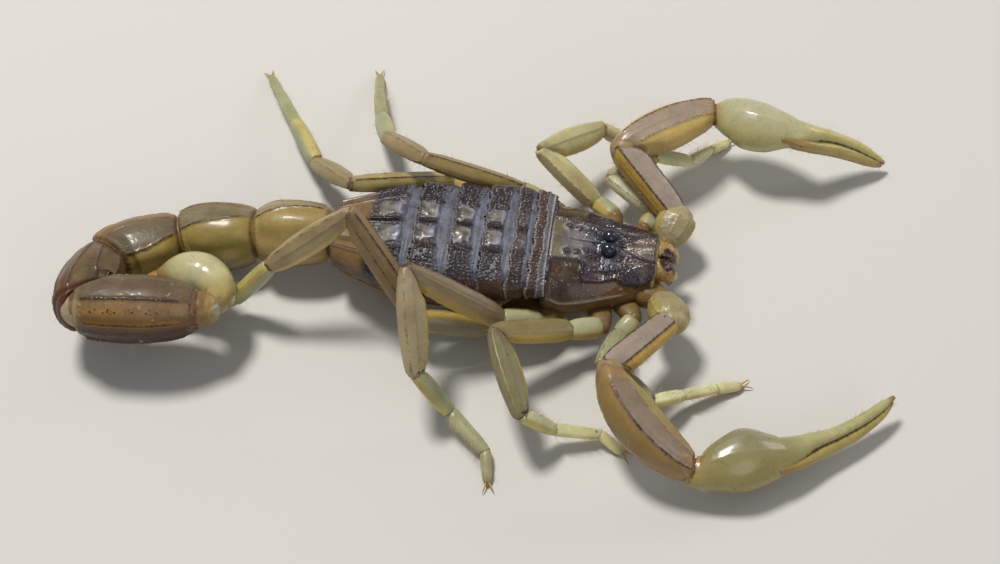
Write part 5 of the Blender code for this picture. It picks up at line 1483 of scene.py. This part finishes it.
def build_back_plate(number, front, rear, squares, keel):
    step = 0.034 / FINE
    low_angle, high_angle = -7, 187
    if number == 7:
        low_angle, high_angle = -2, 182
    angles, girth = even_angles(low_angle, high_angle, int(12.2 / step), (front + rear) / 2)
    length = front - rear
    xs = np.linspace(front, rear, max(9, int(length / step)))
    angle, x = np.meshgrid(angles, xs, indexing="ij")
    base = body_point(x, angle, 1.0)
    arc = (angle - 90) / (high_angle - low_angle) * girth
    # Distance over the back from the middle line, positive to the right of the animal.
    points = body_point(np.full(len(angles), (front + rear) / 2), angles)
    run = np.concatenate([[0], np.cumsum(np.linalg.norm(np.diff(points, axis=0), axis=1))])
    run -= np.interp(90, angles, run)
    off = np.repeat(run[:, None], len(xs), 1)
    a = np.abs(off)
    share = (front - x) / length
    core = np.clip((front - x) / min(length, 1.7), 0, 1)  # of the granular part
    place = base
    coarse = granules(x, off, 0.20, 100 + number, 0.85, 0.42)
    fine = granules(x + 2, off, 0.125, 120 + number, 0.50, 0.40)
    median = bell(off, 0.10) * smooth(0.02, 0.2, core) * (1 - smooth(0.86, 1.0, core) * (1 if number < 7 else 0))
    keel_line = 1.50 + 0.08 * np.sin(core * 3)
    lateral = bell(a - keel_line, 0.12)
    wobble = 0.17 * noise(place, 0.34, 63) + 0.09 * noise(place, 0.15, 64)
    inner_edge, outer_edge = 0.17 + 0.20 * (1 - core), 1.36 - 0.22 * (1 - core)
    square = smooth(-0.06, 0.07, a + wobble - inner_edge) * (1 - smooth(-0.07, 0.07, a + wobble - outer_edge)) * smooth(0.0, 0.16, core + 0.5 * wobble) * (1 - 0.80 * smooth(0.60, 0.98, core + 0.9 * wobble))
    outer = smooth(1.50, 1.75, a)
    if number == 7:
        tail_part = smooth(-15.75, -16.35, x)
        outer = outer * (1 - tail_part)
        square = square * (1 - tail_part)
        second = bell(a - 2.15, 0.11) * smooth(-14.3, -14.8, x)
    else:
        tail_part = np.zeros_like(x)
        second = np.zeros_like(x)
    lift = 0.03 + 0.09 * share ** 1.5 - 0.10 * (1 - smooth(0.0, 0.16, front - x)) * (number > 2)
    height = (
        lift
        + keel * (0.15 * median + 0.11 * lateral * (0.6 + 0.4 * np.abs(np.cos(np.pi * x / 0.16))))
        + squares * 0.12 * square * (0.55 + 0.45 * bell((a - 0.78) / 0.45, 1.0)) * (1.15 - 0.5 * core)
        + (0.075 * coarse * outer + 0.016 * fine) * (1 - 0.75 * squares * square) * (1 - 0.7 * tail_part) * (1 - 0.85 * smooth(3.0, 3.5, a))
        + 0.022 * noise(place, 0.55, 60 + number)
        + 0.030 * squares * square * noise(place, 0.28, 160 + number)
        + 0.10 * second
        + 0.035 * coarse * (1 - outer) * (1 - squares * square) * (1 - tail_part)
    )
    height += 0.022 * bell((x - rear) / 0.045, 1.0) * (number < 7) * (0.45 + 0.55 * np.abs(np.cos(off * 18)))
    normal = grid_normals(base, False)
    if normal[..., 2].sum() < 0:
        normal = -normal
    top = base + normal * height[..., None]
    top[..., 0] -= (0.05 * np.sin(off * 3.1 + number) + 0.03 * np.sin(off * 7.7 + 2 * number)) * share * (number < 7)
    top[..., 0] += 0.22 * np.clip(a / 2.6, 0, 1.4) ** 2 * (1 - share) * (3 < number < 7) - 0.10 * np.clip(a / 2.6, 0, 1.4) ** 2 * share * (number < 4)

    red = np.array([0.075, 0.038, 0.030])
    soot = SOOT if number > 3 else SOOT * 0.6 + red * (0.75 if number < 3 else 0.35)
    tint = np.broadcast_to(soot, place.shape) * (1 + 0.3 * noise(place, 0.5, 70 + number)[..., None])
    # Granule tops painted lighter: a painted highlight on each granule.
    tint = blend(tint * 0.85, np.array([0.062, 0.046, 0.054]), 0.50 * smooth(0.35, 0.8, coarse))
    glint = smooth(0.87, 0.97, coarse) * (noise(place, 0.21, 77) > 0.0) * outer
    tint = blend(tint, np.array([0.30, 0.27, 0.31]) if number > 2 else np.array([0.26, 0.20, 0.19]), 0.60 * glint * (1 - smooth(3.1, 3.7, a)))
    slate = BLUE * 0.9 * (1 + 0.3 * noise(place, 0.3, 72)[..., None])
    tint = blend(tint, slate, 0.75 * (1 - smooth(0.0, 0.22, core)) * (number > 2))
    warm = np.array([0.175, 0.142, 0.115]) * (1 + 0.38 * noise(place, 0.25, 80 + number)[..., None])
    # The pale squares turn bluish-white at their front and along their outer edge: a painted sheen.
    sheen = np.array([0.275, 0.275, 0.370])
    warm = blend(warm, np.array([0.245, 0.235, 0.190]), 0.8 * smooth(0.0, 0.4, noise(place, 0.4, 82)))
    pale = blend(warm, sheen, np.clip(0.95 * (1 - smooth(0.10, 0.42, core + 1.2 * wobble)) + 0.7 * bell(a - outer_edge + 0.12, 0.10) * (noise(place, 0.4, 81) > -0.1), 0, 1))
    tint = blend(tint, pale, squares * 0.92 * square * (0.80 + 0.20 * noise(place, 0.2, 170 + number)))
    tint = blend(tint, np.array([0.060, 0.045, 0.050]), 0.70 * squares * square * smooth(0.30, 0.65, fine) * (noise(place, 0.35, 171) > -0.25) * smooth(0.25, 0.5, core))
    tint = blend(tint, np.array([0.13, 0.060, 0.040]), 0.5 * squares * bell(a - 1.46, 0.08) * (noise(place, 0.3, 83) > 0) * (1 - tail_part))
    tint = blend(tint, np.array([0.012, 0.008, 0.010]), keel * 0.95 * np.clip(1.2 * bell(off, 0.125), 0, 1) * smooth(0.02, 0.2, core) * (1 - 0.5 * tail_part))
    tint = blend(tint, np.array([0.016, 0.010, 0.012]), keel * 0.85 * lateral * (1 - 0.4 * tail_part))
    ochre = np.array([0.205, 0.118, 0.045]) * (1 + 0.18 * noise(place, 0.5, 85)[..., None])
    tint = blend(tint, ochre, 0.9 * tail_part)
    tint = blend(tint, np.array([0.04, 0.018, 0.012]), 0.8 * (bell(a - 1.45, 0.07) + bell(a - 2.05, 0.07)) * tail_part)
    # Lower margins turn brown, smooth and a little translucent, and are painted very dark as shade on the lower flank.
    low_side = smooth(3.10, 3.75, a + 0.25 * noise(place, 0.6, 90 + number))
    tint = blend(tint, np.array([0.044, 0.017, 0.005]), 0.95 * low_side)
    tint = blend(tint, np.array([0.130, 0.070, 0.024]), 0.7 * smooth(4.45, 4.9, a))
    rim = bell((x - rear) / 0.035, 1.0)
    if number == 1:
        tint = blend(tint, BLUE * 0.85, 0.8 * smooth(0.05, 0.3, core) * (1 - smooth(0.75, 0.95, core)))
        tint = blend(tint, np.array([0.33, 0.31, 0.30]), 0.8 * bell((x - front) / 0.035, 1.0))
    dotted = smooth(0.15, 0.6, np.abs(np.cos(off * 18))) * (0.7 + 0.3 * noise(place, 0.25, 95))
    tint = blend(tint, np.array([0.33, 0.29, 0.26]) if number < 4 else np.array([0.23, 0.20, 0.20]), (0.85 if number < 3 else 0.6) * rim * (number < 7) * dotted)
    skin = Skin()
    slab(skin, top, tint, 0.0, depth=0.13)
    skin.build(f"tergite_{number}", TRUNK, (f"mesosoma_{number}",))


def build_belly_plates():
    """Sternites with their breathing slits, from the third trunk ring back."""
    skin = Skin()
    edges = ((-8.4, -10.05), (-9.95, -11.7), (-11.6, -13.6), (-13.5, -15.4), (-15.3, -17.8))
    for number, (front, rear) in enumerate(edges, start=3):
        step = 0.10 / FINE
        angles, girth = even_angles(208, 332, int(7.4 / step), (front + rear) / 2)
        xs = np.linspace(front, rear, int((front - rear) / step))
        angle, x = np.meshgrid(angles[::-1], xs, indexing="ij")
        base = body_point(x, angle, 1.0)
        share = (front - x) / (front - rear)
        normal = base - body_point(x, angle, 0.9)
        normal /= np.linalg.norm(normal, axis=-1, keepdims=True)
        slit = np.hypot((share - 0.55) / 0.10, (np.abs(angle - 270) - 33) / 7) if number < 7 else np.full(x.shape, 9.0)
        height = 0.02 + 0.07 * share - 0.10 * (1 - smooth(0.5, 1.0, slit))
        ridge = bell((np.abs(angle - 270) - 24) / 2.2, 1.0) + bell((np.abs(angle - 270) - 46) / 2.2, 1.0)
        height = height + 0.06 * ridge * (number >= 6)
        top = base + normal * height[..., None]
        tint = np.array([0.400, 0.300, 0.150]) * (1 + 0.12 * noise(base, 0.9, 130 + number)[..., None])
        tint = blend(tint, np.array([0.20, 0.12, 0.05]), 0.7 * smooth(45, 62, np.abs(angle - 270)))
        tint = blend(tint, np.array([0.50, 0.44, 0.28]), 0.6 * bell(share - 1.0, 0.05))
        dark = 0.9 * (1 - smooth(0.4, 0.9, slit)) + 0.6 * ridge * (number >= 6)
        slab_under(skin, top, tint, dark)
    skin.build("sternites", TAIL)


def slab_under(skin, top, tint, dark, depth=0.12):
    """A closed belly plate, whose outer face looks down."""
    inside = top + (np.array([-11.5, 0.0, 3.4]) - top) * [0, 1, 1] * (2 * depth / np.maximum(np.linalg.norm((np.array([-11.5, 0.0, 3.4]) - top) * [0, 1, 1], axis=-1, keepdims=True), 1e-6))
    ring = np.concatenate([top, inside[:, -1:], inside[:, :1]], 1)
    tint = np.concatenate([tint, tint[:, -1:], tint[:, :1]], 1)
    dark = np.broadcast_to(dark, top.shape[:2])
    dark = np.concatenate([dark, dark[:, -1:], dark[:, :1]], 1)
    skin.grid(ring, tint, dark)


def build_combs():
    for side, name in ((1, "left"), (-1, "right")):
        skin = Skin()
        start = np.array([-7.30, side * 0.62, 0.86])
        end = np.array([-10.55, side * 3.0, 0.70])
        along = unit(end - start)
        back = unit(np.cross(UP, along)) * (1 if np.cross(UP, along)[0] < 0 else -1)
        rows = [(start + (end - start) * s - back * 0.12, a, b) for s, a, b in ((0.0, 0.20, 0.16), (0.12, 0.26, 0.20), (0.5, 0.27, 0.20), (0.85, 0.22, 0.17), (1.0, 0.14, 0.12))]
        grid, info = sweep(rows, UP, 0.08 / FINE)
        skin.grid(grid, np.array([0.46, 0.34, 0.15]) * (1 + 0.1 * noise(grid, 0.5, 9)[..., None]), 0.0)
        count = 22
        for k in range(count):
            s = 0.06 + 0.92 * k / (count - 1)
            root = start + (end - start) * s + back * 0.10
            bead(skin, root, 0.085, (0.44, 0.32, 0.14), segments=8)
            rows = [(root, 0.055, 0.075), (root + back * 0.20, 0.070, 0.085), (root + back * 0.46 + along * 0.05, 0.066, 0.075), (root + back * 0.62 + along * 0.09, 0.03, 0.04)]
            grid, info = sweep(rows, UP, 0.07 / FINE)
            skin.grid(grid, np.array([0.52, 0.42, 0.22]), 0.0)
        skin.build(f"pectine_{name}_skin", TAIL, (f"pectine_{name}",))


build_membrane()
for plate_number, row in enumerate(BACK_PLATES, start=1):
    build_back_plate(plate_number, *row)
build_belly_plates()
build_combs()

# ---------------------------------------------------------------- tail

TAIL_ROOT = (-18.35, 0.30, 3.20)
# Length, half-width, roll of the back towards the inside of the curl, and heading of each piece.
TAIL_PIECES = (
    (4.42, 1.78, 48, (-177.8, -5.7)),
    (4.58, 1.84, 68, (-174.8, -5.8)),
    (4.45, 1.80, 82, (-149.5, 3.1)),
    (4.83, 1.78, 90, (-88.2, 22.2)),
    (6.32, 1.74, 97, (5.8, -2.5)),
)
# Where the upper keel beside the back runs, in degrees round the section, at the front, middle and rear.
BACK_KEELS = ((18, 27, 44), (19, 31, 41), (33, 46, 46), (40, 52, 56), (54, 54, 54))


def tail_axes(axis, roll):
    inside = unit(np.cross(UP, axis))
    upright = -np.cross(axis, inside)
    if upright[2] < 0:
        upright = -upright
    a = math.radians(roll)
    back = unit(upright * math.cos(a) + inside * math.sin(a))
    return unit(np.cross(axis, back)), back


def open_gap(axis, neighbour, radius):
    half = 0.5 * math.acos(max(-1.0, min(1.0, float(axis @ neighbour))))
    return 0.05 / max(math.cos(half), 0.4) + radius * max(0.0, math.tan(half) - 1.25)


def build_tail():
    joints = chain(TAIL_ROOT, [row[0] for row in TAIL_PIECES], [row[3] for row in TAIL_PIECES])
    axes = [unit(b - a) for a, b in zip(joints, joints[1:])]
    for number, (length, half, roll, _) in enumerate(TAIL_PIECES, start=1):
        start, end, axis = joints[number - 1], joints[number], axes[number - 1]
        side, back = tail_axes(axis, roll)
        before = axes[number - 2] if number > 1 else np.array([-1.0, 0.0, -0.07])
        after = axes[number] if number < 5 else axis
        begin = start + axis * open_gap(axis, unit(before), half * 0.62)
        stop = end - axis * open_gap(axis, unit(after), half * 0.62)
        if number < 5:
            profile = ((0.0, 0.64), (0.03, 0.755), (0.08, 0.83), (0.20, 0.93), (0.40, 1.01), (0.64, 1.045), (0.82, 1.0), (0.92, 0.905), (0.97, 0.84), (1.0, 0.72))
        else:
            profile = ((0.0, 0.66), (0.03, 0.80), (0.09, 0.90), (0.28, 1.01), (0.50, 1.03), (0.74, 0.95), (0.88, 0.84), (0.95, 0.77), (1.0, 0.64))
        rows = [(begin + (stop - begin) * s, half * k, half * k * 0.97) for s, k in profile]
        bends = {}
        if number > 1:
            bends["before"] = (axes[number - 2], start)
        if number < 5:
            bends["after"] = (axes[number], end)
        grid, info = sweep(rows, back, 0.068 / FINE, reach=(0.25, 0.35), round_ends=(0.5, 0.5), power=2.25, gap=0.0, slant=1.25, blend_over=0.5, **bends)
        t, angle = info["t"], info["angle"]
        shape = grid.shape[:2]
        seed = 200 + 10 * number
        keel = BACK_KEELS[number - 1]
        along_keel = lambda at: np.interp(at, (0.05, 0.5, 0.95), keel)
        mirror_keel = lambda at: 180 - np.interp(at, (0.05, 0.5, 0.95), keel)
        keels = Keels(info)
        if number < 5:
            for where, dark in ((along_keel, 0.95), (mirror_keel, 0.9)):
                keels.add(where, 0.085, 0.065, dark=dark, beads=0.13, bead_height=0.030, start=0.05, end=0.985, seed=seed, patchy=0.18)
            pairs = ((-14, 0.55, 0.045), (-50, 0.6, 0.05), (-80, 0.55, 0.045)) if number < 4 else ((18, 0.0, 0.0), (-18, 0.8, 0.06), (-52, 0.7, 0.055), (-82, 0.6, 0.05))
            for k, (where, dark, height) in enumerate(pairs):
                if height:
                    for sign in (0, 1):
                        keels.add(180 - where if sign else where, height, 0.075, dark=dark, beads=0.15, bead_height=0.035, start=0.06, end=0.97, seed=seed + k, patchy=0.35)
            if number == 4:
                central = lambda at: 3 + 24 * at
                keels.add(central, 0.055, 0.085, dark=0.85, beads=0.16, bead_height=0.035, start=0.08, end=0.97, seed=seed + 7, patchy=0.35)
        else:
            keels.add(334, 0.09, 0.11, dark=0.95, beads=0.18, bead_height=0.055, start=0.06, end=0.93, seed=seed, patchy=0.22)
            keels.add(236, 0.10, 0.11, dark=0.9, beads=0.18, bead_height=0.05, start=0.07, end=0.95, seed=seed + 1, patchy=0.2)
            keels.add(286, 0.08, 0.11, dark=0.85, beads=0.18, bead_height=0.055, start=0.08, end=0.93, seed=seed + 2, patchy=0.35)
            keels.add(54, 0.05, 0.08, dark=0.6, beads=0.16, bead_height=0.03, start=0.08, end=0.90, seed=seed + 3, patchy=0.4)
            keels.add(156, 0.05, 0.08, dark=0.6, beads=0.16, bead_height=0.03, start=0.08, end=0.90, seed=seed + 4, patchy=0.4)
            for where in (312, 260):
                off = np.radians(turn(angle, where)) * info["radius"]
                spots = granules(info["s"] + 0 * angle, off, 0.19, seed + int(where), 0.50, 0.40) * bell(off, 0.16) * smooth(0.05, 0.12, t) * (1 - smooth(0.80, 0.88, t))
                keels.height += 0.055 * spots
                keels.dark = np.maximum(keels.dark, 0.9 * smooth(0.2, 0.6, spots))
            pores = granules(info["s"] + 0 * angle, np.radians(turn(angle, 286)) * info["radius"], 0.75, seed + 40, 0.35, 0.16)
            keels.height += 0.06 * pores
            pale_pores = smooth(0.2, 0.7, pores)
        back_share = smooth(-4, 4, angle - along_keel(t)) * (1 - smooth(-4, 4, angle - mirror_keel(t))) * np.ones(shape)
        s = np.sin(np.radians(angle))
        fine = granules(info["s"] + 0 * angle, np.radians(turn(angle, 90)) * info["radius"], 0.17, seed + 5, 0.5)
        height = keels.height + 0.010 * fine * (1 - back_share)
        if number < 5:
            height -= 0.10 * bell(turn(angle, 90) / 17, 1.0) * smooth(0.0, 0.2, t) * (1 - smooth(0.85, 1.0, t))
            height += 0.05 * (bell(turn(angle, 128) / 16, 1.0) + bell(turn(angle, 56) / 16, 1.0)) * smooth(0.05, 0.3, t) * (1 - smooth(0.80, 1.0, t))
            height -= 0.045 * (bell(turn(angle, keel[1] - 22) / 9, 1.0) + bell(turn(angle, 180 - keel[1] + 22) / 9, 1.0)) * smooth(0.05, 0.2, t) * (1 - smooth(0.85, 1.0, t))
        collar = bell((1 - t) * info["length"] - 0.10, 0.10)
        height = height * smooth(0.0, 0.03, t) + 0.05 * collar * (0.5 + 0.5 * np.abs(np.cos(np.radians(angle) * 14)))
        height = height + 0.030 * noise(grid, 1.5, seed + 30) + 0.012 * noise(grid, 0.5, seed + 31)
        grid = raised(grid, height * np.ones(shape))
        yellow = np.array([0.270, 0.195, 0.048])
        mauve = np.array([0.180, 0.145, 0.078])
        amber = np.array([0.250, 0.130, 0.040])
        if number == 1:
            yellow, mauve = np.array([0.310, 0.220, 0.075]), np.array([0.290, 0.215, 0.105])
        if number == 3:
            yellow, mauve, amber = np.array([0.300, 0.200, 0.036]), np.array([0.150, 0.118, 0.072]), np.array([0.230, 0.120, 0.035])
        if number == 4:
            mauve, yellow, amber = np.array([0.120, 0.080, 0.034]), np.array([0.150, 0.100, 0.034]), np.array([0.110, 0.050, 0.018])
        tint = np.broadcast_to(mauve, grid.shape)
        tint = blend(tint, amber, smooth(0.05, -0.65, s) * np.ones(shape))
        tint = blend(tint, yellow, back_share)
        if number < 4:
            # Whitish patch on the back face: a painted highlight.
            tint = blend(tint, np.array([0.310, 0.285, 0.190]), 0.75 * bell(turn(angle, 122) / 17, 1.0) * bell((t - 0.42) / 0.26, 1.0))
            tint = blend(tint, np.array([0.30, 0.17, 0.080]), 0.60 * smooth(134, 152, angle) * back_share)
            tint = blend(tint, np.array([0.340, 0.270, 0.085]), 0.45 * bell(turn(angle, 62) / 20, 1.0) * back_share)
        if number == 5:
            upper = np.array([0.118, 0.080, 0.042])
            band = np.array([0.225, 0.140, 0.060])
            low = np.array([0.175, 0.082, 0.015])
            from_upper = turn(angle, 334)
            tint = np.broadcast_to(upper, grid.shape)
            tint = blend(tint, band, smooth(1, -4, from_upper) * np.ones(shape))
            tint = blend(tint, np.array([0.330, 0.180, 0.040]), 0.8 * bell(turn(angle, 310) / 7, 1.0) * (1 - smooth(0.25, 0.60, t)) * smooth(0.04, 0.1, t))
            tint = blend(tint, low, smooth(-24, -44, from_upper) * np.ones(shape))
            tint = blend(tint, np.array([0.040, 0.014, 0.006]), smooth(-48, -72, from_upper) * (from_upper > -150) * np.ones(shape))
            tint = blend(tint, np.array([0.36, 0.28, 0.16]), 0.75 * bell((t - 0.045) / 0.028, 1.0) * bell(turn(angle, 305) / 40, 1.0))
            tint = blend(tint, np.array([0.27, 0.19, 0.11]), 0.6 * pale_pores)
        tint = tint * (1 + 0.13 * noise(grid, 0.9, seed)[..., None] * np.array([1.0, 1.05, 1.25]))
        rim = np.maximum(bell((1 - t) * info["length"] - 0.06, 0.10), 0.75 * bell(info["s"] - 0.10, 0.085)) * np.ones(shape)
        tint = blend(tint, np.array([0.165, 0.080, 0.035]), 0.75 * rim)
        if number == 4:
            tint = blend(tint, np.array([0.085, 0.028, 0.014]), 0.9 * smooth(0.92, 0.985, t) * np.ones(shape))
        skin = Skin()
        skin.grid(grid, tint, np.maximum(keels.dark, 0.42 * rim * (noise(grid, 0.35, seed + 1) > 0.1)))
        add_bristles(grid, info, 26, 0.42, seed + 2, where=1 - 0.9 * back_share)
        skin.build(f"metasoma_{number}_skin", TAIL, (f"metasoma_{number}",))
    soft = Skin()
    for k, (joint, radius) in enumerate(zip(joints[:5], (1.20, 1.20, 1.22, 1.22, 1.16))):
        shade = (SHADED_COXA_AMBER * 1.3, np.array([0.30, 0.16, 0.06]), np.array([0.28, 0.15, 0.055]), np.array([0.16, 0.075, 0.03]), np.array([0.34, 0.27, 0.15]))[k]
        ball(soft, joint, radius, shade, segments=36)
    soft.build("tail_joint_skin", MEMBRANE)
    return joints[-1], axes[-1]


def build_telson(tail_end, axis):
    centre = np.array([-25.52, -3.58, 3.40])
    side, back = tail_axes(axis, 97)
    # The stalk shows as a low rounded cap over the end of the last tail piece.
    skin = Skin()
    rows = [(tail_end + axis * x + np.array([0, y, 0]), r, r) for x, y, r in ((-0.55, 0.0, 0.88), (-0.05, 0.02, 1.02), (0.30, 0.06, 1.00), (0.62, 0.12, 0.86))]
    grid, info = sweep(rows, back, 0.06 / FINE, round_ends=(0.2, 0.85), power=2.1)
    theta = np.radians(info["angle"])
    middle = np.linalg.norm(grid - (tail_end + axis * 1.15 + np.array([0.0, -0.10, 0.25])), axis=2)
    crumbs = granules(grid[..., 1] + 0.4 * grid[..., 0], grid[..., 2] + 0.2 * grid[..., 0], 0.13, 260, 0.9) * (1 - smooth(0.42, 0.62, middle))
    grid = raised(grid, 0.045 * crumbs + 0.02 * noise(grid, 0.5, 263) + 0.035 * bell(middle - 0.70, 0.06))
    tint = np.broadcast_to(np.array([0.215, 0.125, 0.045]), grid.shape)
    tint = blend(tint, np.array([0.33, 0.24, 0.085]), 0.7 * (1 - smooth(0.5, 1.0, middle)))
    tint = blend(tint, np.array([0.42, 0.38, 0.28]), 0.9 * (1 - smooth(0.30, 0.52, middle + 0.08 * noise(grid, 0.2, 264))))
    tint = blend(tint, np.array([0.110, 0.050, 0.020]), 0.7 * bell(info["s"] - 0.42, 0.07) * np.ones(grid.shape[:2]))
    skin.grid(grid, tint * (1 + 0.16 * noise(grid, 0.4, 261)[..., None]), 0.3 * bell(info["s"] - 0.42, 0.05) * np.ones(grid.shape[:2]))
    # Bulb and neck in one sweep: out of the stalk, round its outer side and back along the last tail piece.
    rows = [
        (tail_end + np.array([0.50, 0.20, -0.10]), 0.60, 0.64),
        (tail_end + np.array([0.86, 0.62, -0.16]), 0.72, 0.76),
        (tail_end + np.array([1.00, 1.20, -0.28]), 0.82, 0.86),
        (tail_end + np.array([0.80, 1.80, -0.44]), 0.96, 1.00),
        (centre + np.array([0.95, -0.26, 0.06]), 1.17, 1.20),
        (centre + np.array([0.35, 0.0, 0.02]), 1.27, 1.30),
        (centre + np.array([-0.25, 0.06, 0.0]), 1.26, 1.28),
        (centre + np.array([-0.85, 0.05, -0.02]), 1.12, 1.14),
        (centre + np.array([-1.42, -0.02, -0.04]), 0.82, 0.84),
        (centre + np.array([-1.86, -0.12, -0.06]), 0.52, 0.53),
        (centre + np.array([-2.12, -0.18, -0.08]), 0.36, 0.36),
    ]
    grid, info = sweep(rows, UP, 0.055 / FINE, round_ends=(0.4, 0.3), power=2.05)
    upward = np.sin(np.radians(info["angle"])) * np.ones(grid.shape[:2])
    low = granules(grid[..., 0], grid[..., 1] + grid[..., 2], 0.42, 270, 0.35, 0.5)
    grid = raised(grid, 0.02 * low * smooth(0.2, -0.5, upward) + 0.02 * noise(grid, 0.9, 273))
    tint = np.broadcast_to(np.array([0.450, 0.405, 0.195]), grid.shape)
    # Lighter on the upper middle of the bulb: a painted highlight.
    tint = blend(tint, np.array([0.520, 0.480, 0.290]), 0.7 * bell((info["t"] - 0.55) / 0.2, 1.0) * smooth(0.2, 0.9, upward))
    tint = blend(tint, np.array([0.330, 0.240, 0.075]), 0.85 * smooth(0.38, 0.12, info["t"]) * np.ones(grid.shape[:2]))
    tint = blend(tint, np.array([0.245, 0.130, 0.045]), 0.85 * smooth(0.16, 0.03, info["t"]) * np.ones(grid.shape[:2]))
    tint = blend(tint, np.array([0.30, 0.17, 0.055]), smooth(0.80, 1.0, info["t"]) * np.ones(grid.shape[:2]))
    bulb = Skin()
    bulb.grid(grid, tint * (1 + 0.09 * noise(grid, 0.9, 271)[..., None]), 0.0)
    # A small knuckle on each side where the stalk carries the bulb.
    for shift, radius in ((np.array([1.02, 0.20, 0.52]), 0.20), (np.array([1.16, 0.62, 0.38]), 0.18)):
        lat = np.linspace(0.05, math.pi - 0.05, 12)
        lon = 2 * np.pi * np.arange(18) / 18
        dome = np.stack([np.outer(np.sin(lat), np.cos(lon)), np.outer(np.sin(lat), np.sin(lon)), np.outer(np.cos(lat), np.ones(18))], -1)
        bulb.grid(tail_end + shift + dome * radius, np.array([0.31, 0.20, 0.08]), 0.0)
    add_bristles(grid, info, 34, 0.45, 272, lean=0.2)
    skin.build("telson_stalk", TAIL)
    bulb.build("telson_bulb_skin", BULB, ("telson_bulb",))
    # The sting.
    skin = Skin()
    start = centre + np.array([-2.10, -0.20, -0.12])
    rows = []
    for k, half in enumerate((0.34, 0.31, 0.25, 0.19, 0.13, 0.07)):
        share = k / 5
        bend = np.array([-1.62 * math.sin(1.25 * share), -1.14 * (1 - math.cos(1.45 * share)), -0.75 * share])
        rows.append((start + bend, half, half))
    grid, info = sweep(rows, UP, 0.04 / FINE, round_ends=(0.3, 1.4))
    tint = blend(np.broadcast_to(np.array([0.34, 0.18, 0.05]), grid.shape), np.array([0.035, 0.010, 0.005]), smooth(0.15, 0.85, info["t"]) * np.ones(grid.shape[:2]))
    skin.grid(grid, tint, 0.0)
    skin.build("telson_sting_skin", HORN, ("telson_sting",))


build_telson(*build_tail())

# ---------------------------------------------------------------- bristles


def bristle_paint():
    paint = bpy.data.materials.new("bristle")
    paint.use_nodes = True
    tree = paint.node_tree
    shader = tree.nodes["Principled BSDF"]
    place = tree.nodes.new("ShaderNodeTexCoord")
    cloud = tree.nodes.new("ShaderNodeTexNoise")
    cloud.inputs["Scale"].default_value = 900
    tree.links.new(place.outputs["Object"], cloud.inputs["Vector"])
    ramp = tree.nodes.new("ShaderNodeValToRGB")
    ramp.color_ramp.elements[0].position = 0.35
    ramp.color_ramp.elements[0].color = (0.30, 0.19, 0.08, 1)
    ramp.color_ramp.elements[1].position = 0.65
    ramp.color_ramp.elements[1].color = (0.58, 0.48, 0.28, 1)
    tree.links.new(cloud.outputs["Fac"], ramp.inputs["Fac"])
    tree.links.new(ramp.outputs["Color"], shader.inputs["Base Color"])
    shader.inputs["Roughness"].default_value = 0.35
    return paint


def build_bristles(name, records, paint):
    """One joined mesh of tapering, gently bent bristles, each with its own small patch of the OFBake map."""
    columns = math.ceil(math.sqrt(len(records)))
    points, faces, charts, total = [], [], [], 0
    sides, rings = 4, 5
    lift = np.linspace(0, 1, rings)
    for k, record in enumerate(records):
        root, count = record["root"], len(record["root"])
        direction = record["direction"] / np.linalg.norm(record["direction"], axis=1, keepdims=True)
        length = record["length"][:, None, None]
        line = root[:, None] + direction[:, None] * lift[None, :, None] * length + record["bend"][:, None] * (lift ** 2)[None, :, None] * length * 0.28
        other = np.cross(direction, record["bend"] + 1e-4)
        other /= np.maximum(np.linalg.norm(other, axis=1, keepdims=True), 1e-9)
        third = np.cross(direction, other)
        size = record["thickness"][:, None] * (1 - 0.88 * lift[None])
        angle = 2 * np.pi * np.arange(sides) / sides
        loop = line[:, :, None] + size[:, :, None, None] * (np.cos(angle)[None, None, :, None] * other[:, None, None] + np.sin(angle)[None, None, :, None] * third[:, None, None])
        points.append(loop.reshape(-1, 3))
        index = total + np.arange(count * rings * sides).reshape(count, rings, sides)
        total += index.size
        after = np.roll(index, -1, 2)
        faces.append(np.stack([index[:, :-1], after[:, :-1], after[:, 1:], index[:, 1:]], -1).reshape(-1, 4))
        faces.append(index[:, -1, :].reshape(-1, 4))
        faces.append(index[:, 0, ::-1].reshape(-1, 4))
        cell = np.array([k % columns, k // columns]) / columns
        corner = cell + 0.96 * record["uv"] / columns
        charts.append(np.repeat(corner, (rings - 1) * sides, 0))
        charts.append(corner)
        charts.append(corner)
    points = np.concatenate(points)
    points[:, 2] = np.maximum(points[:, 2], 0.01)
    points = (points - PLAN_CENTRE) * MM
    faces = np.concatenate(faces).astype(np.int32)
    charts = np.concatenate(charts)
    mesh = bpy.data.meshes.new(name)
    mesh.vertices.add(len(points))
    mesh.vertices.foreach_set("co", points.astype(np.float32).ravel())
    mesh.loops.add(len(faces) * 4)
    mesh.loops.foreach_set("vertex_index", faces.ravel())
    mesh.polygons.add(len(faces))
    mesh.polygons.foreach_set("loop_start", (np.arange(len(faces)) * 4).astype(np.int32))
    mesh.polygons.foreach_set("use_smooth", np.ones(len(faces), bool))
    mesh.update(calc_edges=True)
    square = np.array([[0, 0], [1, 0], [1, 1], [0, 1]]) * 0.003
    layout = mesh.uv_layers.new(name="OFBake")
    layout.data.foreach_set("uv", np.clip(charts[:, None] + square[None], 0, 1).astype(np.float32).ravel())
    mesh.materials.append(paint)
    obj = bpy.data.objects.new(name, mesh)
    bpy.context.scene.collection.objects.link(obj)
    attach(obj, "root")
    PIECES[name] = len(faces) * 2


build_bristles("bristles", BRISTLES, bristle_paint())
